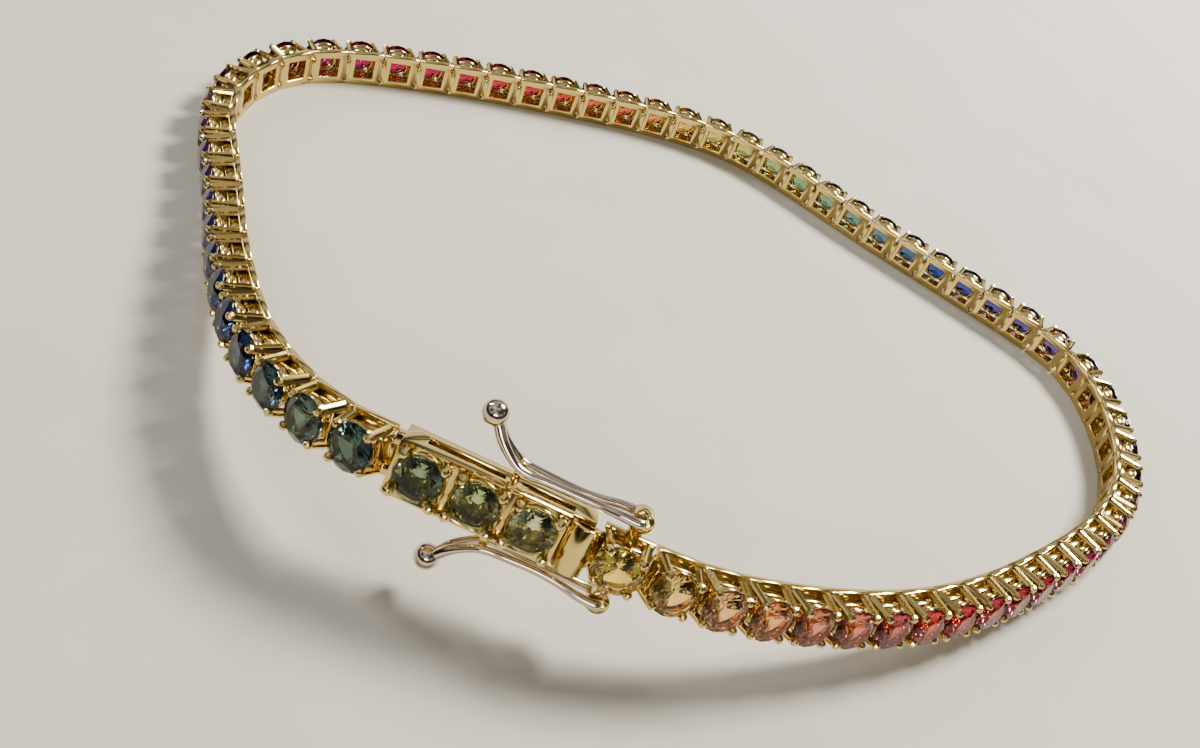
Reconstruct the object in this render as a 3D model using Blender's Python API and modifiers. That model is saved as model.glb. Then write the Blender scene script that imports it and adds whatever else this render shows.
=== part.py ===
"""Tennis bracelet: a closed row of round stones in four-prong links, with a box clasp,
a folded spring tongue and two wire safety latches. It lies on its edge, stones outward."""

import math

import bmesh
import bpy
import numpy as np
from mathutils import Matrix, Vector

MM = 0.001
WELD_DISTANCE = 0.001 * MM
JOIN_OVERLAP = 0.15 * MM
FLAT_ANGLE = math.radians(0.5)
SMOOTH_ANGLE = math.radians(38.0)
ROUTE_STEPS = 60
BISECTION_STEPS = 40

# Chain sizes
LINK_PITCH = 2.656 * MM
LINK_COUNT = 62
LINK_WIDTH = 2.60 * MM
LINK_GAP = 0.16 * MM
PLATE_THICKNESS = 0.40 * MM
WINDOW_LENGTH = 1.40 * MM
WINDOW_WIDTH = 1.50 * MM
PRONG_SIZE = 0.34 * MM
PRONG_HEIGHT = 1.80 * MM
PRONG_LEAN = 0.22 * MM
KNUCKLE_WIDTH = 1.10 * MM
KNUCKLE_THICKNESS = 0.24 * MM
KNUCKLE_REACH = 0.05 * MM

# Stone sizes
STONE_DIAMETER = 2.50 * MM
STONE_TABLE_DIAMETER = 1.34 * MM
STONE_CROWN = 0.34 * MM
STONE_PAVILION = 0.70 * MM
STONE_SIDES = 8
GIRDLE_HEIGHT = 1.58 * MM
STONE_CLEARANCE = 0.06 * MM

# Chain hinge sizes, where two nodes interlock
EYE_RADIUS = 0.33 * MM
EYE_BORE = 0.21 * MM
EYE_WIDTH = 0.66 * MM
EYE_STEM_THICKNESS = 0.28 * MM
EYE_STEM_INSET = 0.05 * MM
PIN_RADIUS = 0.12 * MM
LUG_WIDTH = 0.36 * MM
LUG_THICKNESS = 0.32 * MM
HINGE_CLEARANCE = 0.10 * MM
HINGE_SIDES = 10

# Route of the loop seen from above, from the clasp's left end round the far side and back.
# Each point is (x, y) as a share of the loop's width, chosen by hand from the photograph.
LOOP_ROUTE = [
    (-0.111, -0.047),
    (-0.225, -0.001),
    (-0.306, 0.088),
    (-0.375, 0.192),
    (-0.448, 0.303),
    (-0.456, 0.388),
    (-0.424, 0.456),
    (-0.334, 0.528),
    (-0.200, 0.608),
    (-0.054, 0.678),
    (0.058, 0.697),
    (0.212, 0.660),
    (0.366, 0.626),
    (0.478, 0.594),
    (0.528, 0.530),
    (0.546, 0.428),
    (0.524, 0.340),
    (0.461, 0.241),
    (0.353, 0.117),
    (0.229, 0.026),
    (0.089, -0.033),
]
LOOP_WIDTH_RANGE = (50.0 * MM, 85.0 * MM)

# Lift and turn of the chain near the clasp, which rests on its lower latch
LIFT_AT_BOX = 4.5 * MM
LIFT_AT_END_LINK = 3.9 * MM
LIFT_LINKS = 13
LIFT_POWER = 1.8
ROLL_AT_BOX = math.radians(24.0)
ROLL_AT_END_LINK = math.radians(24.0)
ROLL_LINKS_AT_BOX = 10
ROLL_LINKS_AT_END_LINK = 26
ROLL_POWER_AT_BOX = 1.5
ROLL_POWER_AT_END_LINK = 1.0

# Clasp sizes, along its own length from the end link's hinge to the box's hinge
BOX_WIDTH = 2.85 * MM
BOX_MOUTH = 1.25 * MM
BOX_HEIGHT = 1.75 * MM
BOX_WALL = 0.28 * MM
BOX_FLOOR = 0.25 * MM
BOX_CAVITY_HEIGHT = 0.80 * MM
BOX_LIP_HEIGHT = 1.05 * MM
BOX_HINGE_SPACE = 0.45 * MM
BOX_STONES = 3
BOX_STONE_DIAMETER = 2.46 * MM
BOX_STONE_PITCH = 2.84 * MM
BOX_STONE_INSET = 1.20 * MM
BOX_SEAT_MARGIN = 0.14 * MM
BOX_PRONG_BITE = 0.20 * MM
SEAT_HOLE_RADIUS = 0.32 * MM
SLOT_HEIGHT = 0.40 * MM
LONG_SLOT = 3.90 * MM
SHORT_SLOT = 2.75 * MM
SLOT_BRIDGE = 0.80 * MM
SLOT_INSET = 0.90 * MM
END_LINK_SPACE = 0.55 * MM

# Spring tongue and thumb tab
LEAF_THICKNESS = 0.18 * MM
TONGUE_WIDTH = 1.70 * MM
TONGUE_CLEARANCE = 0.08 * MM
LEAF_OPENING = 0.24 * MM
TONGUE_END_GAP = 0.50 * MM
TAB_RADIUS = 0.68 * MM
TAB_WALL = 0.25 * MM
TAB_WIDTH = 2.40 * MM
TAB_SIDES = 16
TAB_CLEARANCE = 0.14 * MM

# Safety latches and what they hold on to
LATCH_WIRE_RADIUS = 0.17 * MM
LATCH_BALL_RADIUS = 0.62 * MM
LATCH_LENGTH = 8.30 * MM
LATCH_BALL_RISE = 2.75 * MM
LATCH_REST_RISE = 0.78 * MM
LATCH_HINGE_RISE = 0.95 * MM
LATCH_HEIGHT = 0.45 * MM
LATCH_SPREAD = 0.62 * MM
LATCH_PINCH = 0.30 * MM
NUB_CLEARANCE = 0.06 * MM
NUB_NECK_RADIUS = 0.14 * MM
NUB_BALL_RADIUS = 0.25 * MM
NUB_RISE = 0.85 * MM
NUB_SIDES = 8
EAR_RADIUS = 0.50 * MM
EAR_BORE = 0.26 * MM
EAR_WIDTH = 0.62 * MM
EAR_FOOT = 0.60 * MM
EAR_FOOT_GRIP = 0.24 * MM
EAR_FOOT_STEP = 0.06 * MM
EAR_SIDES = 12

# Metal and stone colours
YELLOW_GOLD = (0.78, 0.52, 0.20, 1.0)
WHITE_GOLD = (0.72, 0.66, 0.58, 1.0)
GREEN_STONES = [(0.10, 0.28, 0.16, 1.0), (0.07, 0.20, 0.12, 1.0), (0.05, 0.14, 0.10, 1.0)]
YELLOW_STONE = (0.75, 0.58, 0.12, 1.0)


def clear_scene():
    for old in list(bpy.data.objects):
        bpy.data.objects.remove(old, do_unlink=True)


def new_collection(name):
    group = bpy.data.collections.new(name)
    bpy.context.scene.collection.children.link(group)
    return group


def material(name, colour, metallic, roughness):
    made = bpy.data.materials.new(name)
    made.use_nodes = True
    shader = made.node_tree.nodes["Principled BSDF"]
    shader.inputs["Base Color"].default_value = colour
    shader.inputs["Metallic"].default_value = metallic
    shader.inputs["Roughness"].default_value = roughness
    return made


def as_object(name, bm, group):
    bmesh.ops.recalc_face_normals(bm, faces=bm.faces)
    mesh = bpy.data.meshes.new(name)
    bm.to_mesh(mesh)
    bm.free()
    made = bpy.data.objects.new(name, mesh)
    group.objects.link(made)
    return made


def add_block(bm, along, out, across):
    """A box from three (low, high) ranges: along the chain, outward, and across its width."""
    low = Vector((along[0], out[0], across[0]))
    high = Vector((along[1], out[1], across[1]))
    size = high - low
    place = Matrix.Translation((low + high) / 2) @ Matrix.Diagonal((*size, 1.0))
    bmesh.ops.create_cube(bm, size=1.0, matrix=place)


def add_bar(bm, radius, start, end, sides):
    """A round bar between two points."""
    axis = end - start
    turn = axis.to_track_quat("Z", "Y").to_matrix().to_4x4()
    place = Matrix.Translation((start + end) / 2) @ turn
    bmesh.ops.create_cone(bm, cap_ends=True, segments=sides, radius1=radius, radius2=radius,
                          depth=axis.length, matrix=place)


def block_object(name, ranges, group):
    bm = bmesh.new()
    add_block(bm, *ranges)
    return as_object(name, bm, group)


def bar_object(name, radius, start, end, sides, group):
    bm = bmesh.new()
    add_bar(bm, radius, Vector(start), Vector(end), sides)
    return as_object(name, bm, group)


def ball_object(name, radius, middle, sides, group):
    bm = bmesh.new()
    bmesh.ops.create_uvsphere(bm, u_segments=sides, v_segments=sides * 2 // 3, radius=radius,
                              matrix=Matrix.Translation(middle))
    return as_object(name, bm, group)


def evaluated_mesh(source):
    bpy.context.view_layer.update()
    ready = source.evaluated_get(bpy.context.evaluated_depsgraph_get())
    return bpy.data.meshes.new_from_object(ready)


def combine(body, tool, operation):
    """Cut or join two objects with an exact Boolean, keep the result and remove the tool."""
    step = body.modifiers.new(operation.lower(), "BOOLEAN")
    step.operation = operation
    step.solver = "EXACT"
    step.object = tool
    result = evaluated_mesh(body)
    body.modifiers.clear()
    old = body.data
    body.data = result
    bpy.data.meshes.remove(old)
    bpy.data.objects.remove(tool, do_unlink=True)


def stone_object(name, clearance, group, diameter=STONE_DIAMETER):
    """A round cut stone about the outward axis: table, crown, sharp girdle and pavilion."""
    radius = diameter / 2 + clearance
    top = GIRDLE_HEIGHT + STONE_CROWN + clearance
    culet = GIRDLE_HEIGHT - STONE_PAVILION - clearance
    profile = [(0.0, top), (STONE_TABLE_DIAMETER / 2 + clearance / 2, top),
               (radius, GIRDLE_HEIGHT), (0.0, culet)]
    mesh = bpy.data.meshes.new(name + "_profile")
    mesh.from_pydata([(r, 0.0, h) for r, h in profile], [(0, 1), (1, 2), (2, 3)], [])
    turned = bpy.data.objects.new(name + "_profile", mesh)
    group.objects.link(turned)
    screw = turned.modifiers.new("turn", "SCREW")
    screw.steps = STONE_SIDES
    screw.render_steps = STONE_SIDES
    screw.use_merge_vertices = True
    screw.merge_threshold = WELD_DISTANCE
    solid = evaluated_mesh(turned)
    bpy.data.objects.remove(turned, do_unlink=True)
    bm = bmesh.new()
    bm.from_mesh(solid)
    bmesh.ops.remove_doubles(bm, verts=bm.verts, dist=WELD_DISTANCE)
    bmesh.ops.rotate(bm, verts=bm.verts, matrix=Matrix.Rotation(-math.pi / 2, 3, "X"))
    flat = [e for e in bm.edges if len(e.link_faces) == 2 and e.calc_face_angle() < 0.001]
    bmesh.ops.dissolve_edges(bm, edges=flat, use_verts=True)
    return as_object(name, bm, group)


def flatten(body):
    """Dissolve the edges that a Boolean leaves across flat faces."""
    bm = bmesh.new()
    bm.from_mesh(body.data)
    bmesh.ops.remove_doubles(bm, verts=bm.verts, dist=WELD_DISTANCE)
    bmesh.ops.dissolve_degenerate(bm, edges=bm.edges, dist=WELD_DISTANCE)
    bmesh.ops.dissolve_limit(bm, angle_limit=FLAT_ANGLE, verts=bm.verts, edges=bm.edges)
    bm.to_mesh(body.data)
    bm.free()


def link_frame(tools):
    """One link without its stone: back plate with a square window and four leaning prongs."""
    half = (LINK_PITCH - LINK_GAP) / 2
    side = LINK_WIDTH / 2
    back = -PLATE_THICKNESS / 2
    front = PLATE_THICKNESS / 2
    top = front + PRONG_HEIGHT
    frame = block_object("link_frame", ((-half, half), (back, top), (-side, side)), tools)
    beyond = LINK_PITCH
    inner_half = half - PRONG_SIZE
    inner_side = side - PRONG_SIZE
    window_half = WINDOW_LENGTH / 2
    window_side = WINDOW_WIDTH / 2
    openings = {
        "window": ((-window_half, window_half), (-beyond, beyond), (-window_side, window_side)),
        "side_opening": ((-inner_half, inner_half), (front, beyond), (-beyond, beyond)),
        "end_opening": ((-beyond, beyond), (front, beyond), (-inner_side, inner_side)),
    }
    for name, ranges in openings.items():
        combine(frame, block_object(name, ranges, tools), "DIFFERENCE")
    for vertex in frame.data.vertices:
        if vertex.co.y > (front + top) / 2:
            vertex.co.x -= math.copysign(PRONG_LEAN, vertex.co.x)
            vertex.co.z -= math.copysign(PRONG_LEAN, vertex.co.z)
    return frame


def link_template(tools):
    """A chain link with its fused stone, and a stub at each end that meets the next link's."""
    link = link_frame(tools)
    inside = LINK_PITCH / 2 - LINK_GAP
    outside = (LINK_PITCH - KNUCKLE_REACH) / 2
    thick = KNUCKLE_THICKNESS / 2
    wide = KNUCKLE_WIDTH / 2
    for low, high in ((-outside, -inside), (inside, outside)):
        stub = block_object("stub", ((low, high), (-thick, thick), (-wide, wide)), tools)
        combine(link, stub, "UNION")
    combine(link, stone_object("link_stone", 0.0, tools), "UNION")
    flatten(link)
    return link


def smooth_route(points, steps):
    """A closed smooth curve through the route's points (Catmull-Rom), as many small steps."""
    knots = np.array(points)
    curve = []
    for i in range(len(knots)):
        before, start, end, after = (knots[(i + j) % len(knots)] for j in (-1, 0, 1, 2))
        for t in np.linspace(0.0, 1.0, steps, endpoint=False):
            curve.append(0.5 * (2 * start + (end - before) * t
                                + (2 * before - 5 * start + 4 * end - after) * t ** 2
                                + (3 * start - before - 3 * end + after) * t ** 3))
    return np.array(curve)


def fade(links_away, reach, power):
    return max(0.0, 1.0 - links_away / reach) ** power


def joint_roll(index):
    """Outward turn of the chain at a joint, which fades away from both ends of the clasp."""
    at_box = ROLL_AT_BOX * fade(index, ROLL_LINKS_AT_BOX, ROLL_POWER_AT_BOX)
    from_end = LINK_COUNT - index
    at_end = ROLL_AT_END_LINK * fade(from_end, ROLL_LINKS_AT_END_LINK, ROLL_POWER_AT_END_LINK)
    return at_box + at_end


def joint_height(index):
    """Height of a joint's middle: the plate's edge stands on the floor at its roll, plus the lift."""
    at_box = LIFT_AT_BOX * fade(index, LIFT_LINKS, LIFT_POWER)
    at_end = LIFT_AT_END_LINK * fade(LINK_COUNT - index, LIFT_LINKS, LIFT_POWER)
    roll = joint_roll(index)
    edge = LINK_WIDTH / 2 * math.cos(roll) + PLATE_THICKNESS / 2 * math.sin(roll)
    return at_box + at_end + edge


def walk_joints(curve, width):
    """Joints one link apart along the scaled curve, starting at the clasp's box."""
    track = curve * width
    places = [Vector((*track[0], joint_height(0)))]
    reached = 0
    for index in range(1, LINK_COUNT + 1):
        height = joint_height(index)
        drop = height - places[-1].z
        step = math.sqrt(LINK_PITCH ** 2 - drop ** 2)
        here = np.array(places[-1][:2])
        while np.hypot(*(track[(reached + 1) % len(track)] - here)) < step:
            reached += 1
        low, high = 0.0, 1.0
        first = track[reached % len(track)]
        second = track[(reached + 1) % len(track)]
        for _ in range(BISECTION_STEPS):
            middle = (low + high) / 2
            if np.hypot(*(first + (second - first) * middle - here)) < step:
                low = middle
            else:
                high = middle
        places.append(Vector((*(first + (second - first) * low), height)))
    return places


def closed_joints(opening):
    """Scale the route until the chain leaves just the clasp's length open."""
    curve = smooth_route(LOOP_ROUTE, ROUTE_STEPS)
    low, high = LOOP_WIDTH_RANGE
    for _ in range(BISECTION_STEPS):
        width = (low + high) / 2
        places = walk_joints(curve, width)
        if (places[0] - places[-1]).length < opening:
            low = width
        else:
            high = width
    return places


def frame_between(start, end, roll):
    """Axes of a piece between two joints: along, outward and across, turned outward by roll."""
    along = (end - start).normalized()
    across = (Vector((0, 0, 1)) - along * along.z).normalized()
    outward = across.cross(along)
    out = outward * math.cos(roll) + across * math.sin(roll)
    up = across * math.cos(roll) - outward * math.sin(roll)
    turn = Matrix((along, out, up)).transposed().to_4x4()
    return Matrix.Translation((start + end) / 2) @ turn


def end_face(faces, sign):
    return max(faces, key=lambda face: sign * face.calc_center_median().x)


def join_stubs(bm, first, second):
    """Bridge two facing stub faces, so that neighbouring links are one body."""
    ring = list(first)
    partner = [min(second, key=lambda v: (v.co - corner.co).length) for corner in ring]
    for i in range(len(ring)):
        j = (i + 1) % len(ring)
        bm.faces.new((ring[i], ring[j], partner[j], partner[i]))


def chain_object(name, template, frames, group):
    """A run of links in one mesh, each placed by its frame and bridged to the one before."""
    bm = bmesh.new()
    last_ring = None
    for frame in frames:
        piece = bmesh.new()
        piece.from_mesh(template.data)
        piece.faces.ensure_lookup_table()
        start_ring = [v.index for v in end_face(piece.faces, -1).verts]
        end_ring = [v.index for v in end_face(piece.faces, 1).verts]
        drop = []
        if last_ring is not None:
            drop.append(end_face(piece.faces, -1))
        if frame is not frames[-1]:
            drop.append(end_face(piece.faces, 1))
        bmesh.ops.delete(piece, geom=drop, context="FACES_ONLY")
        bmesh.ops.transform(piece, matrix=frame, verts=piece.verts)
        start = len(bm.verts)
        mesh = bpy.data.meshes.new("run")
        piece.to_mesh(mesh)
        piece.free()
        bm.from_mesh(mesh)
        bpy.data.meshes.remove(mesh)
        bm.verts.ensure_lookup_table()
        if last_ring is not None:
            join_stubs(bm, [bm.verts[i] for i in last_ring], [bm.verts[start + i] for i in start_ring])
        last_ring = [start + i for i in end_ring]
    return as_object(name, bm, group)


def place(tool, frame):
    tool.matrix_world = frame
    return tool


def hinge_eye(body, frame, tools):
    """Turn a body's end into an eye. The frame sits on the joint, with +X away from the body."""
    reach = EYE_WIDTH / 2 + 2 * HINGE_CLEARANCE + LUG_WIDTH
    setback = EYE_RADIUS + HINGE_CLEARANCE
    thick = PLATE_THICKNESS
    cut = ((-setback, LINK_PITCH), (-thick, thick), (-reach, reach))
    combine(body, place(block_object("eye_cut", cut, tools), frame), "DIFFERENCE")
    half = EYE_WIDTH / 2
    wide = half - EYE_STEM_INSET
    deep = EYE_STEM_THICKNESS / 2
    eye = bar_object("eye", EYE_RADIUS, (0, 0, -half), (0, 0, half), HINGE_SIDES, tools)
    stem = ((-setback - JOIN_OVERLAP, -EYE_BORE), (-deep, deep), (-wide, wide))
    combine(eye, block_object("stem", stem, tools), "UNION")
    bore = bar_object("bore", EYE_BORE, (0, 0, -EYE_WIDTH), (0, 0, EYE_WIDTH), HINGE_SIDES, tools)
    combine(eye, bore, "DIFFERENCE")
    combine(body, place(eye, frame), "UNION")


def hinge_fork(body, frame, root, notched, tools):
    """Give a body's end two lugs and a pin. Root is how far behind the joint the lugs start."""
    inner = EYE_WIDTH / 2 + HINGE_CLEARANCE
    outer = inner + LUG_WIDTH
    thick = PLATE_THICKNESS
    if notched:
        setback = EYE_RADIUS + HINGE_CLEARANCE
        notch = ((-setback, LINK_PITCH), (-thick, thick), (-inner, inner))
        combine(body, place(block_object("notch", notch, tools), frame), "DIFFERENCE")
    deep = LUG_THICKNESS / 2
    pin_half = outer - PIN_RADIUS
    fork = bar_object("pin", PIN_RADIUS, (0, 0, -pin_half), (0, 0, pin_half), HINGE_SIDES, tools)
    for low, high in ((-outer, -inner), (inner, outer)):
        lug = ((-root, PIN_RADIUS + HINGE_CLEARANCE), (-deep, deep), (low, high))
        combine(fork, block_object("lug", lug, tools), "UNION")
    combine(body, place(fork, frame), "UNION")


def notched_root():
    """How far behind the joint a fork's lugs start where its plate is notched for the eye."""
    return EYE_RADIUS + 2 * HINGE_CLEARANCE


def joint_frame(frame, point, away):
    """The frame moved to a joint, with +X pointing along (away 1) or against (away -1) it."""
    turned = frame.to_3x3() @ Matrix.Rotation(0.0 if away > 0 else math.pi, 3, "Z")
    return Matrix.Translation(point) @ turned.to_4x4()


def box_length():
    """The stones in their row, the margin round the last one's seat, and the mouth for the tab."""
    row = (BOX_STONES - 1) * BOX_STONE_PITCH + BOX_STONE_DIAMETER / 2
    return BOX_STONE_INSET + row + BOX_SEAT_MARGIN + BOX_MOUTH


def clasp_length():
    return END_LINK_SPACE + LINK_PITCH + box_length() + BOX_HINGE_SPACE - LINK_GAP / 2


def box_end():
    """Where the box's closed end stands, along the clasp."""
    return clasp_length() - BOX_HINGE_SPACE


def box_floor():
    """Height of the cavity's floor above the joint line."""
    return BOX_FLOOR - PLATE_THICKNESS / 2


def stone_places():
    first = box_end() - BOX_STONE_INSET
    return [first - i * BOX_STONE_PITCH for i in range(BOX_STONES)]


def slot_bridge_place():
    """Middle of the solid bridge between the two side slots, where the nubs stand."""
    return box_end() - SLOT_INSET - LONG_SLOT - SLOT_BRIDGE / 2


def end_link_middle():
    return LINK_PITCH / 2


def moved(tool, along, out=0.0, across=0.0):
    tool.location = (along, out, across)
    return tool


def clasp_box(tools):
    """Box with a cavity for the tongue, slots in both side walls, stone seats, prongs and nubs."""
    back = -PLATE_THICKNESS / 2
    deck = back + BOX_HEIGHT
    lip = back + BOX_LIP_HEIGHT
    far = box_end()
    near = far - box_length()
    deck_start = near + BOX_MOUTH
    side = BOX_WIDTH / 2
    inside = side - BOX_WALL
    floor = box_floor()
    ceiling = floor + BOX_CAVITY_HEIGHT
    beyond = LINK_PITCH
    box = block_object("clasp_box", ((near, far), (back, deck), (-side, side)), tools)
    cavity = ((near - beyond, far - BOX_WALL), (floor, ceiling), (-inside, inside))
    mouth = ((near - beyond, deck_start), (lip, deck + beyond), (-beyond, beyond))
    tab_space = ((near - beyond, deck_start), (floor, deck + beyond), (-inside, inside))
    middle = (floor + ceiling) / 2
    slot_out = (middle - SLOT_HEIGHT / 2, middle + SLOT_HEIGHT / 2)
    long_end = far - SLOT_INSET
    long_start = long_end - LONG_SLOT
    short_end = long_start - SLOT_BRIDGE
    long_slot = ((long_start, long_end), slot_out, (-beyond, beyond))
    short_slot = ((short_end - SHORT_SLOT, short_end), slot_out, (-beyond, beyond))
    for name, ranges in (("cavity", cavity), ("mouth", mouth), ("tab_space", tab_space),
                         ("long_slot", long_slot), ("short_slot", short_slot)):
        combine(box, block_object(name, ranges, tools), "DIFFERENCE")
    corner = BOX_STONE_DIAMETER / 2 - BOX_PRONG_BITE
    half = PRONG_SIZE / 2
    post = ((-half, half), (deck - JOIN_OVERLAP, PLATE_THICKNESS / 2 + PRONG_HEIGHT), (-half, half))
    for along in stone_places():
        for x in (along - corner, along + corner):
            for z in (-corner, corner):
                combine(box, moved(block_object("prong", post, tools), x, across=z), "UNION")
    for along in stone_places():
        start, end = (along, middle, 0), (along, deck, 0)
        hole = bar_object("seat_hole", SEAT_HOLE_RADIUS, start, end, STONE_SIDES, tools)
        combine(box, hole, "DIFFERENCE")
        seat = stone_object("seat", STONE_CLEARANCE, tools, BOX_STONE_DIAMETER)
        combine(box, moved(seat, along), "DIFFERENCE")
    for sign in (-1, 1):
        combine(box, catch_nub(sign, tools), "UNION")
    hinge = Matrix.Translation((clasp_length(), 0, 0))
    hinge_fork(box, hinge, BOX_HINGE_SPACE + BOX_WALL / 2, False, tools)
    flatten(box)
    return box


def catch_nub(sign, tools):
    """A small ball on a neck, on one side wall of the box, in line with the latch's middle."""
    wall = BOX_WIDTH / 2
    start = (0, LATCH_HEIGHT, sign * (wall - JOIN_OVERLAP))
    tip = (0, LATCH_HEIGHT, sign * (wall + NUB_RISE))
    neck = bar_object("nub", NUB_NECK_RADIUS, start, tip, NUB_SIDES, tools)
    combine(neck, ball_object("nub_ball", NUB_BALL_RADIUS, tip, NUB_SIDES, tools), "UNION")
    return moved(neck, slot_bridge_place())


def end_link(tools):
    """The link beyond the clasp, with the spring tongue, its thumb tab and the latch ears."""
    body = link_frame(tools)
    combine(body, stone_object("end_seat", STONE_CLEARANCE, tools), "DIFFERENCE")
    body.data.transform(Matrix.Translation((end_link_middle(), 0, 0)))
    low = box_floor() + TONGUE_CLEARANCE
    leaf_top = low + LEAF_THICKNESS
    upper_low = leaf_top + LEAF_OPENING
    upper_top = upper_low + LEAF_THICKNESS
    half = TONGUE_WIDTH / 2
    tip = box_end() - BOX_WALL - TONGUE_END_GAP
    deck_start = box_end() - box_length() + BOX_MOUTH
    riser_end = deck_start - TONGUE_CLEARANCE
    root = LINK_PITCH - LINK_GAP / 2 - JOIN_OVERLAP
    tab_middle = riser_end - TAB_RADIUS
    tab_foot = BOX_LIP_HEIGHT - PLATE_THICKNESS / 2 + TAB_CLEARANCE
    lower = block_object("tongue", ((root, tip), (low, leaf_top), (-half, half)), tools)
    upper = ((riser_end - TAB_WALL, tip), (upper_low, upper_top), (-half, half))
    fold = ((tip - LEAF_THICKNESS, tip), (low, upper_top), (-half, half))
    riser = ((riser_end - TAB_WALL, riser_end), (upper_low, tab_foot + TAB_WALL), (-half, half))
    for name, ranges in (("fold", fold), ("upper_leaf", upper), ("riser", riser)):
        combine(lower, block_object(name, ranges, tools), "UNION")
    combine(lower, thumb_tab(tab_middle, tab_foot, tools), "UNION")
    combine(body, lower, "UNION")
    for sign in (-1, 1):
        combine(body, latch_ear(sign, tools), "UNION")
        start = (end_link_middle(), LATCH_HEIGHT - EAR_WIDTH, sign * ear_rise())
        end = (end_link_middle(), LATCH_HEIGHT + EAR_WIDTH, sign * ear_rise())
        combine(body, bar_object("ear_bore", EAR_BORE, start, end, HINGE_SIDES, tools), "DIFFERENCE")
    hinge_fork(body, Matrix.Rotation(math.pi, 4, "Z"), notched_root(), True, tools)
    flatten(body)
    return body


def thumb_tab(middle, foot, tools):
    """A bent strip across the clasp: half a tube, open towards the wrist."""
    start, end = (middle, foot, -TAB_WIDTH / 2), (middle, foot, TAB_WIDTH / 2)
    tab = bar_object("thumb_tab", TAB_RADIUS, start, end, TAB_SIDES, tools)
    start, end = (middle, foot, -TAB_WIDTH), (middle, foot, TAB_WIDTH)
    inner = bar_object("tab_inside", TAB_RADIUS - TAB_WALL, start, end, TAB_SIDES, tools)
    combine(tab, inner, "DIFFERENCE")
    reach = 2 * TAB_RADIUS
    under = ((middle - reach, middle + reach), (foot - reach, foot), (-TAB_WIDTH, TAB_WIDTH))
    combine(tab, block_object("tab_under", under, tools), "DIFFERENCE")
    return tab


def ear_rise():
    return BOX_WIDTH / 2 + LATCH_HINGE_RISE


def latch_ear(sign, tools):
    """A short tube beside the end link, on a foot that rises from the plate's edge."""
    low, high = LATCH_HEIGHT - EAR_WIDTH / 2, LATCH_HEIGHT + EAR_WIDTH / 2
    rise = sign * ear_rise()
    ear = bar_object("ear", EAR_RADIUS, (0, low, rise), (0, high, rise), EAR_SIDES, tools)
    inner = LINK_WIDTH / 2 - EAR_FOOT_GRIP
    outer = ear_rise() - (EAR_BORE + EAR_RADIUS) / 2
    across = (inner, outer) if sign > 0 else (-outer, -inner)
    foot = ((-EAR_FOOT / 2, EAR_FOOT / 2), (-LUG_THICKNESS / 2, high - EAR_FOOT_STEP), across)
    combine(ear, block_object("ear_foot", foot, tools), "UNION")
    return moved(ear, end_link_middle())


def latch_path():
    """One side of the hairpin wire: (along, sideways, rise) from the hinge's axis to the ball."""
    nub = slot_bridge_place() - end_link_middle()
    drop = LATCH_REST_RISE - LATCH_HINGE_RISE
    passing = NUB_BALL_RADIUS + NUB_CLEARANCE + LATCH_WIRE_RADIUS
    tip_rise = LATCH_BALL_RISE - LATCH_HINGE_RISE
    stations = [
        (0.00, 0.0, 0.0),
        (0.00, 0.80 * LATCH_SPREAD, 0.0),
        (0.015, LATCH_SPREAD, 0.0),
        (0.12, 0.95 * LATCH_SPREAD, 0.10 * drop),
        (0.26, LATCH_PINCH + 0.3 * (LATCH_SPREAD - LATCH_PINCH), 0.70 * drop),
        (0.40, LATCH_PINCH, drop),
        (0.58, LATCH_PINCH + 0.4 * (passing - LATCH_PINCH), drop),
        (nub / LATCH_LENGTH - 0.04, passing, drop),
        (nub / LATCH_LENGTH + 0.04, 0.95 * passing, drop + 0.10 * (tip_rise - drop)),
        (0.88, 0.6 * passing, drop + 0.42 * (tip_rise - drop)),
        (0.95, 0.3 * passing, drop + 0.78 * (tip_rise - drop)),
    ]
    return [(share * LATCH_LENGTH, side, rise) for share, side, rise in stations]


def latch_object(name, group):
    """Closed hairpin of round wire through the ear, with a ball at its tip. Origin on the hinge."""
    one_side = latch_path()
    other_side = [(along, -side, rise) for along, side, rise in reversed(one_side[1:])]
    points = one_side[1:] + other_side
    curve = bpy.data.curves.new(name + "_wire", "CURVE")
    curve.dimensions = "3D"
    curve.bevel_depth = LATCH_WIRE_RADIUS
    curve.bevel_resolution = 1
    spline = curve.splines.new("POLY")
    spline.points.add(len(points) - 1)
    for point, place_now in zip(spline.points, points):
        point.co = (*place_now, 1.0)
    spline.use_cyclic_u = True
    wire = bpy.data.objects.new(name + "_wire", curve)
    group.objects.link(wire)
    solid = evaluated_mesh(wire)
    bpy.data.objects.remove(wire, do_unlink=True)
    bm = bmesh.new()
    bm.from_mesh(solid)
    bmesh.ops.remove_doubles(bm, verts=bm.verts, dist=WELD_DISTANCE)
    latch = as_object(name, bm, group)
    tip = (LATCH_LENGTH, 0.0, LATCH_BALL_RISE - LATCH_HINGE_RISE)
    combine(latch, ball_object(name + "_ball", LATCH_BALL_RADIUS, tip, EAR_SIDES, group), "UNION")
    return latch


def shade_round(made):
    """Smooth shading over the round metal, with its true edges kept sharp."""
    made.data.shade_smooth()
    made.data.set_sharp_from_angle(angle=SMOOTH_ANGLE)


def finish(made, group, colour_material, parent):
    """Move a finished piece to the bracelet's collection, with its material and parent."""
    for old in list(made.users_collection):
        old.objects.unlink(made)
    group.objects.link(made)
    made.data.materials.clear()
    made.data.materials.append(colour_material)
    made.parent = parent


def empty(name, frame, group, parent=None):
    made = bpy.data.objects.new(name, None)
    group.objects.link(made)
    made.parent = parent
    made.matrix_basis = frame
    return made


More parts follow.
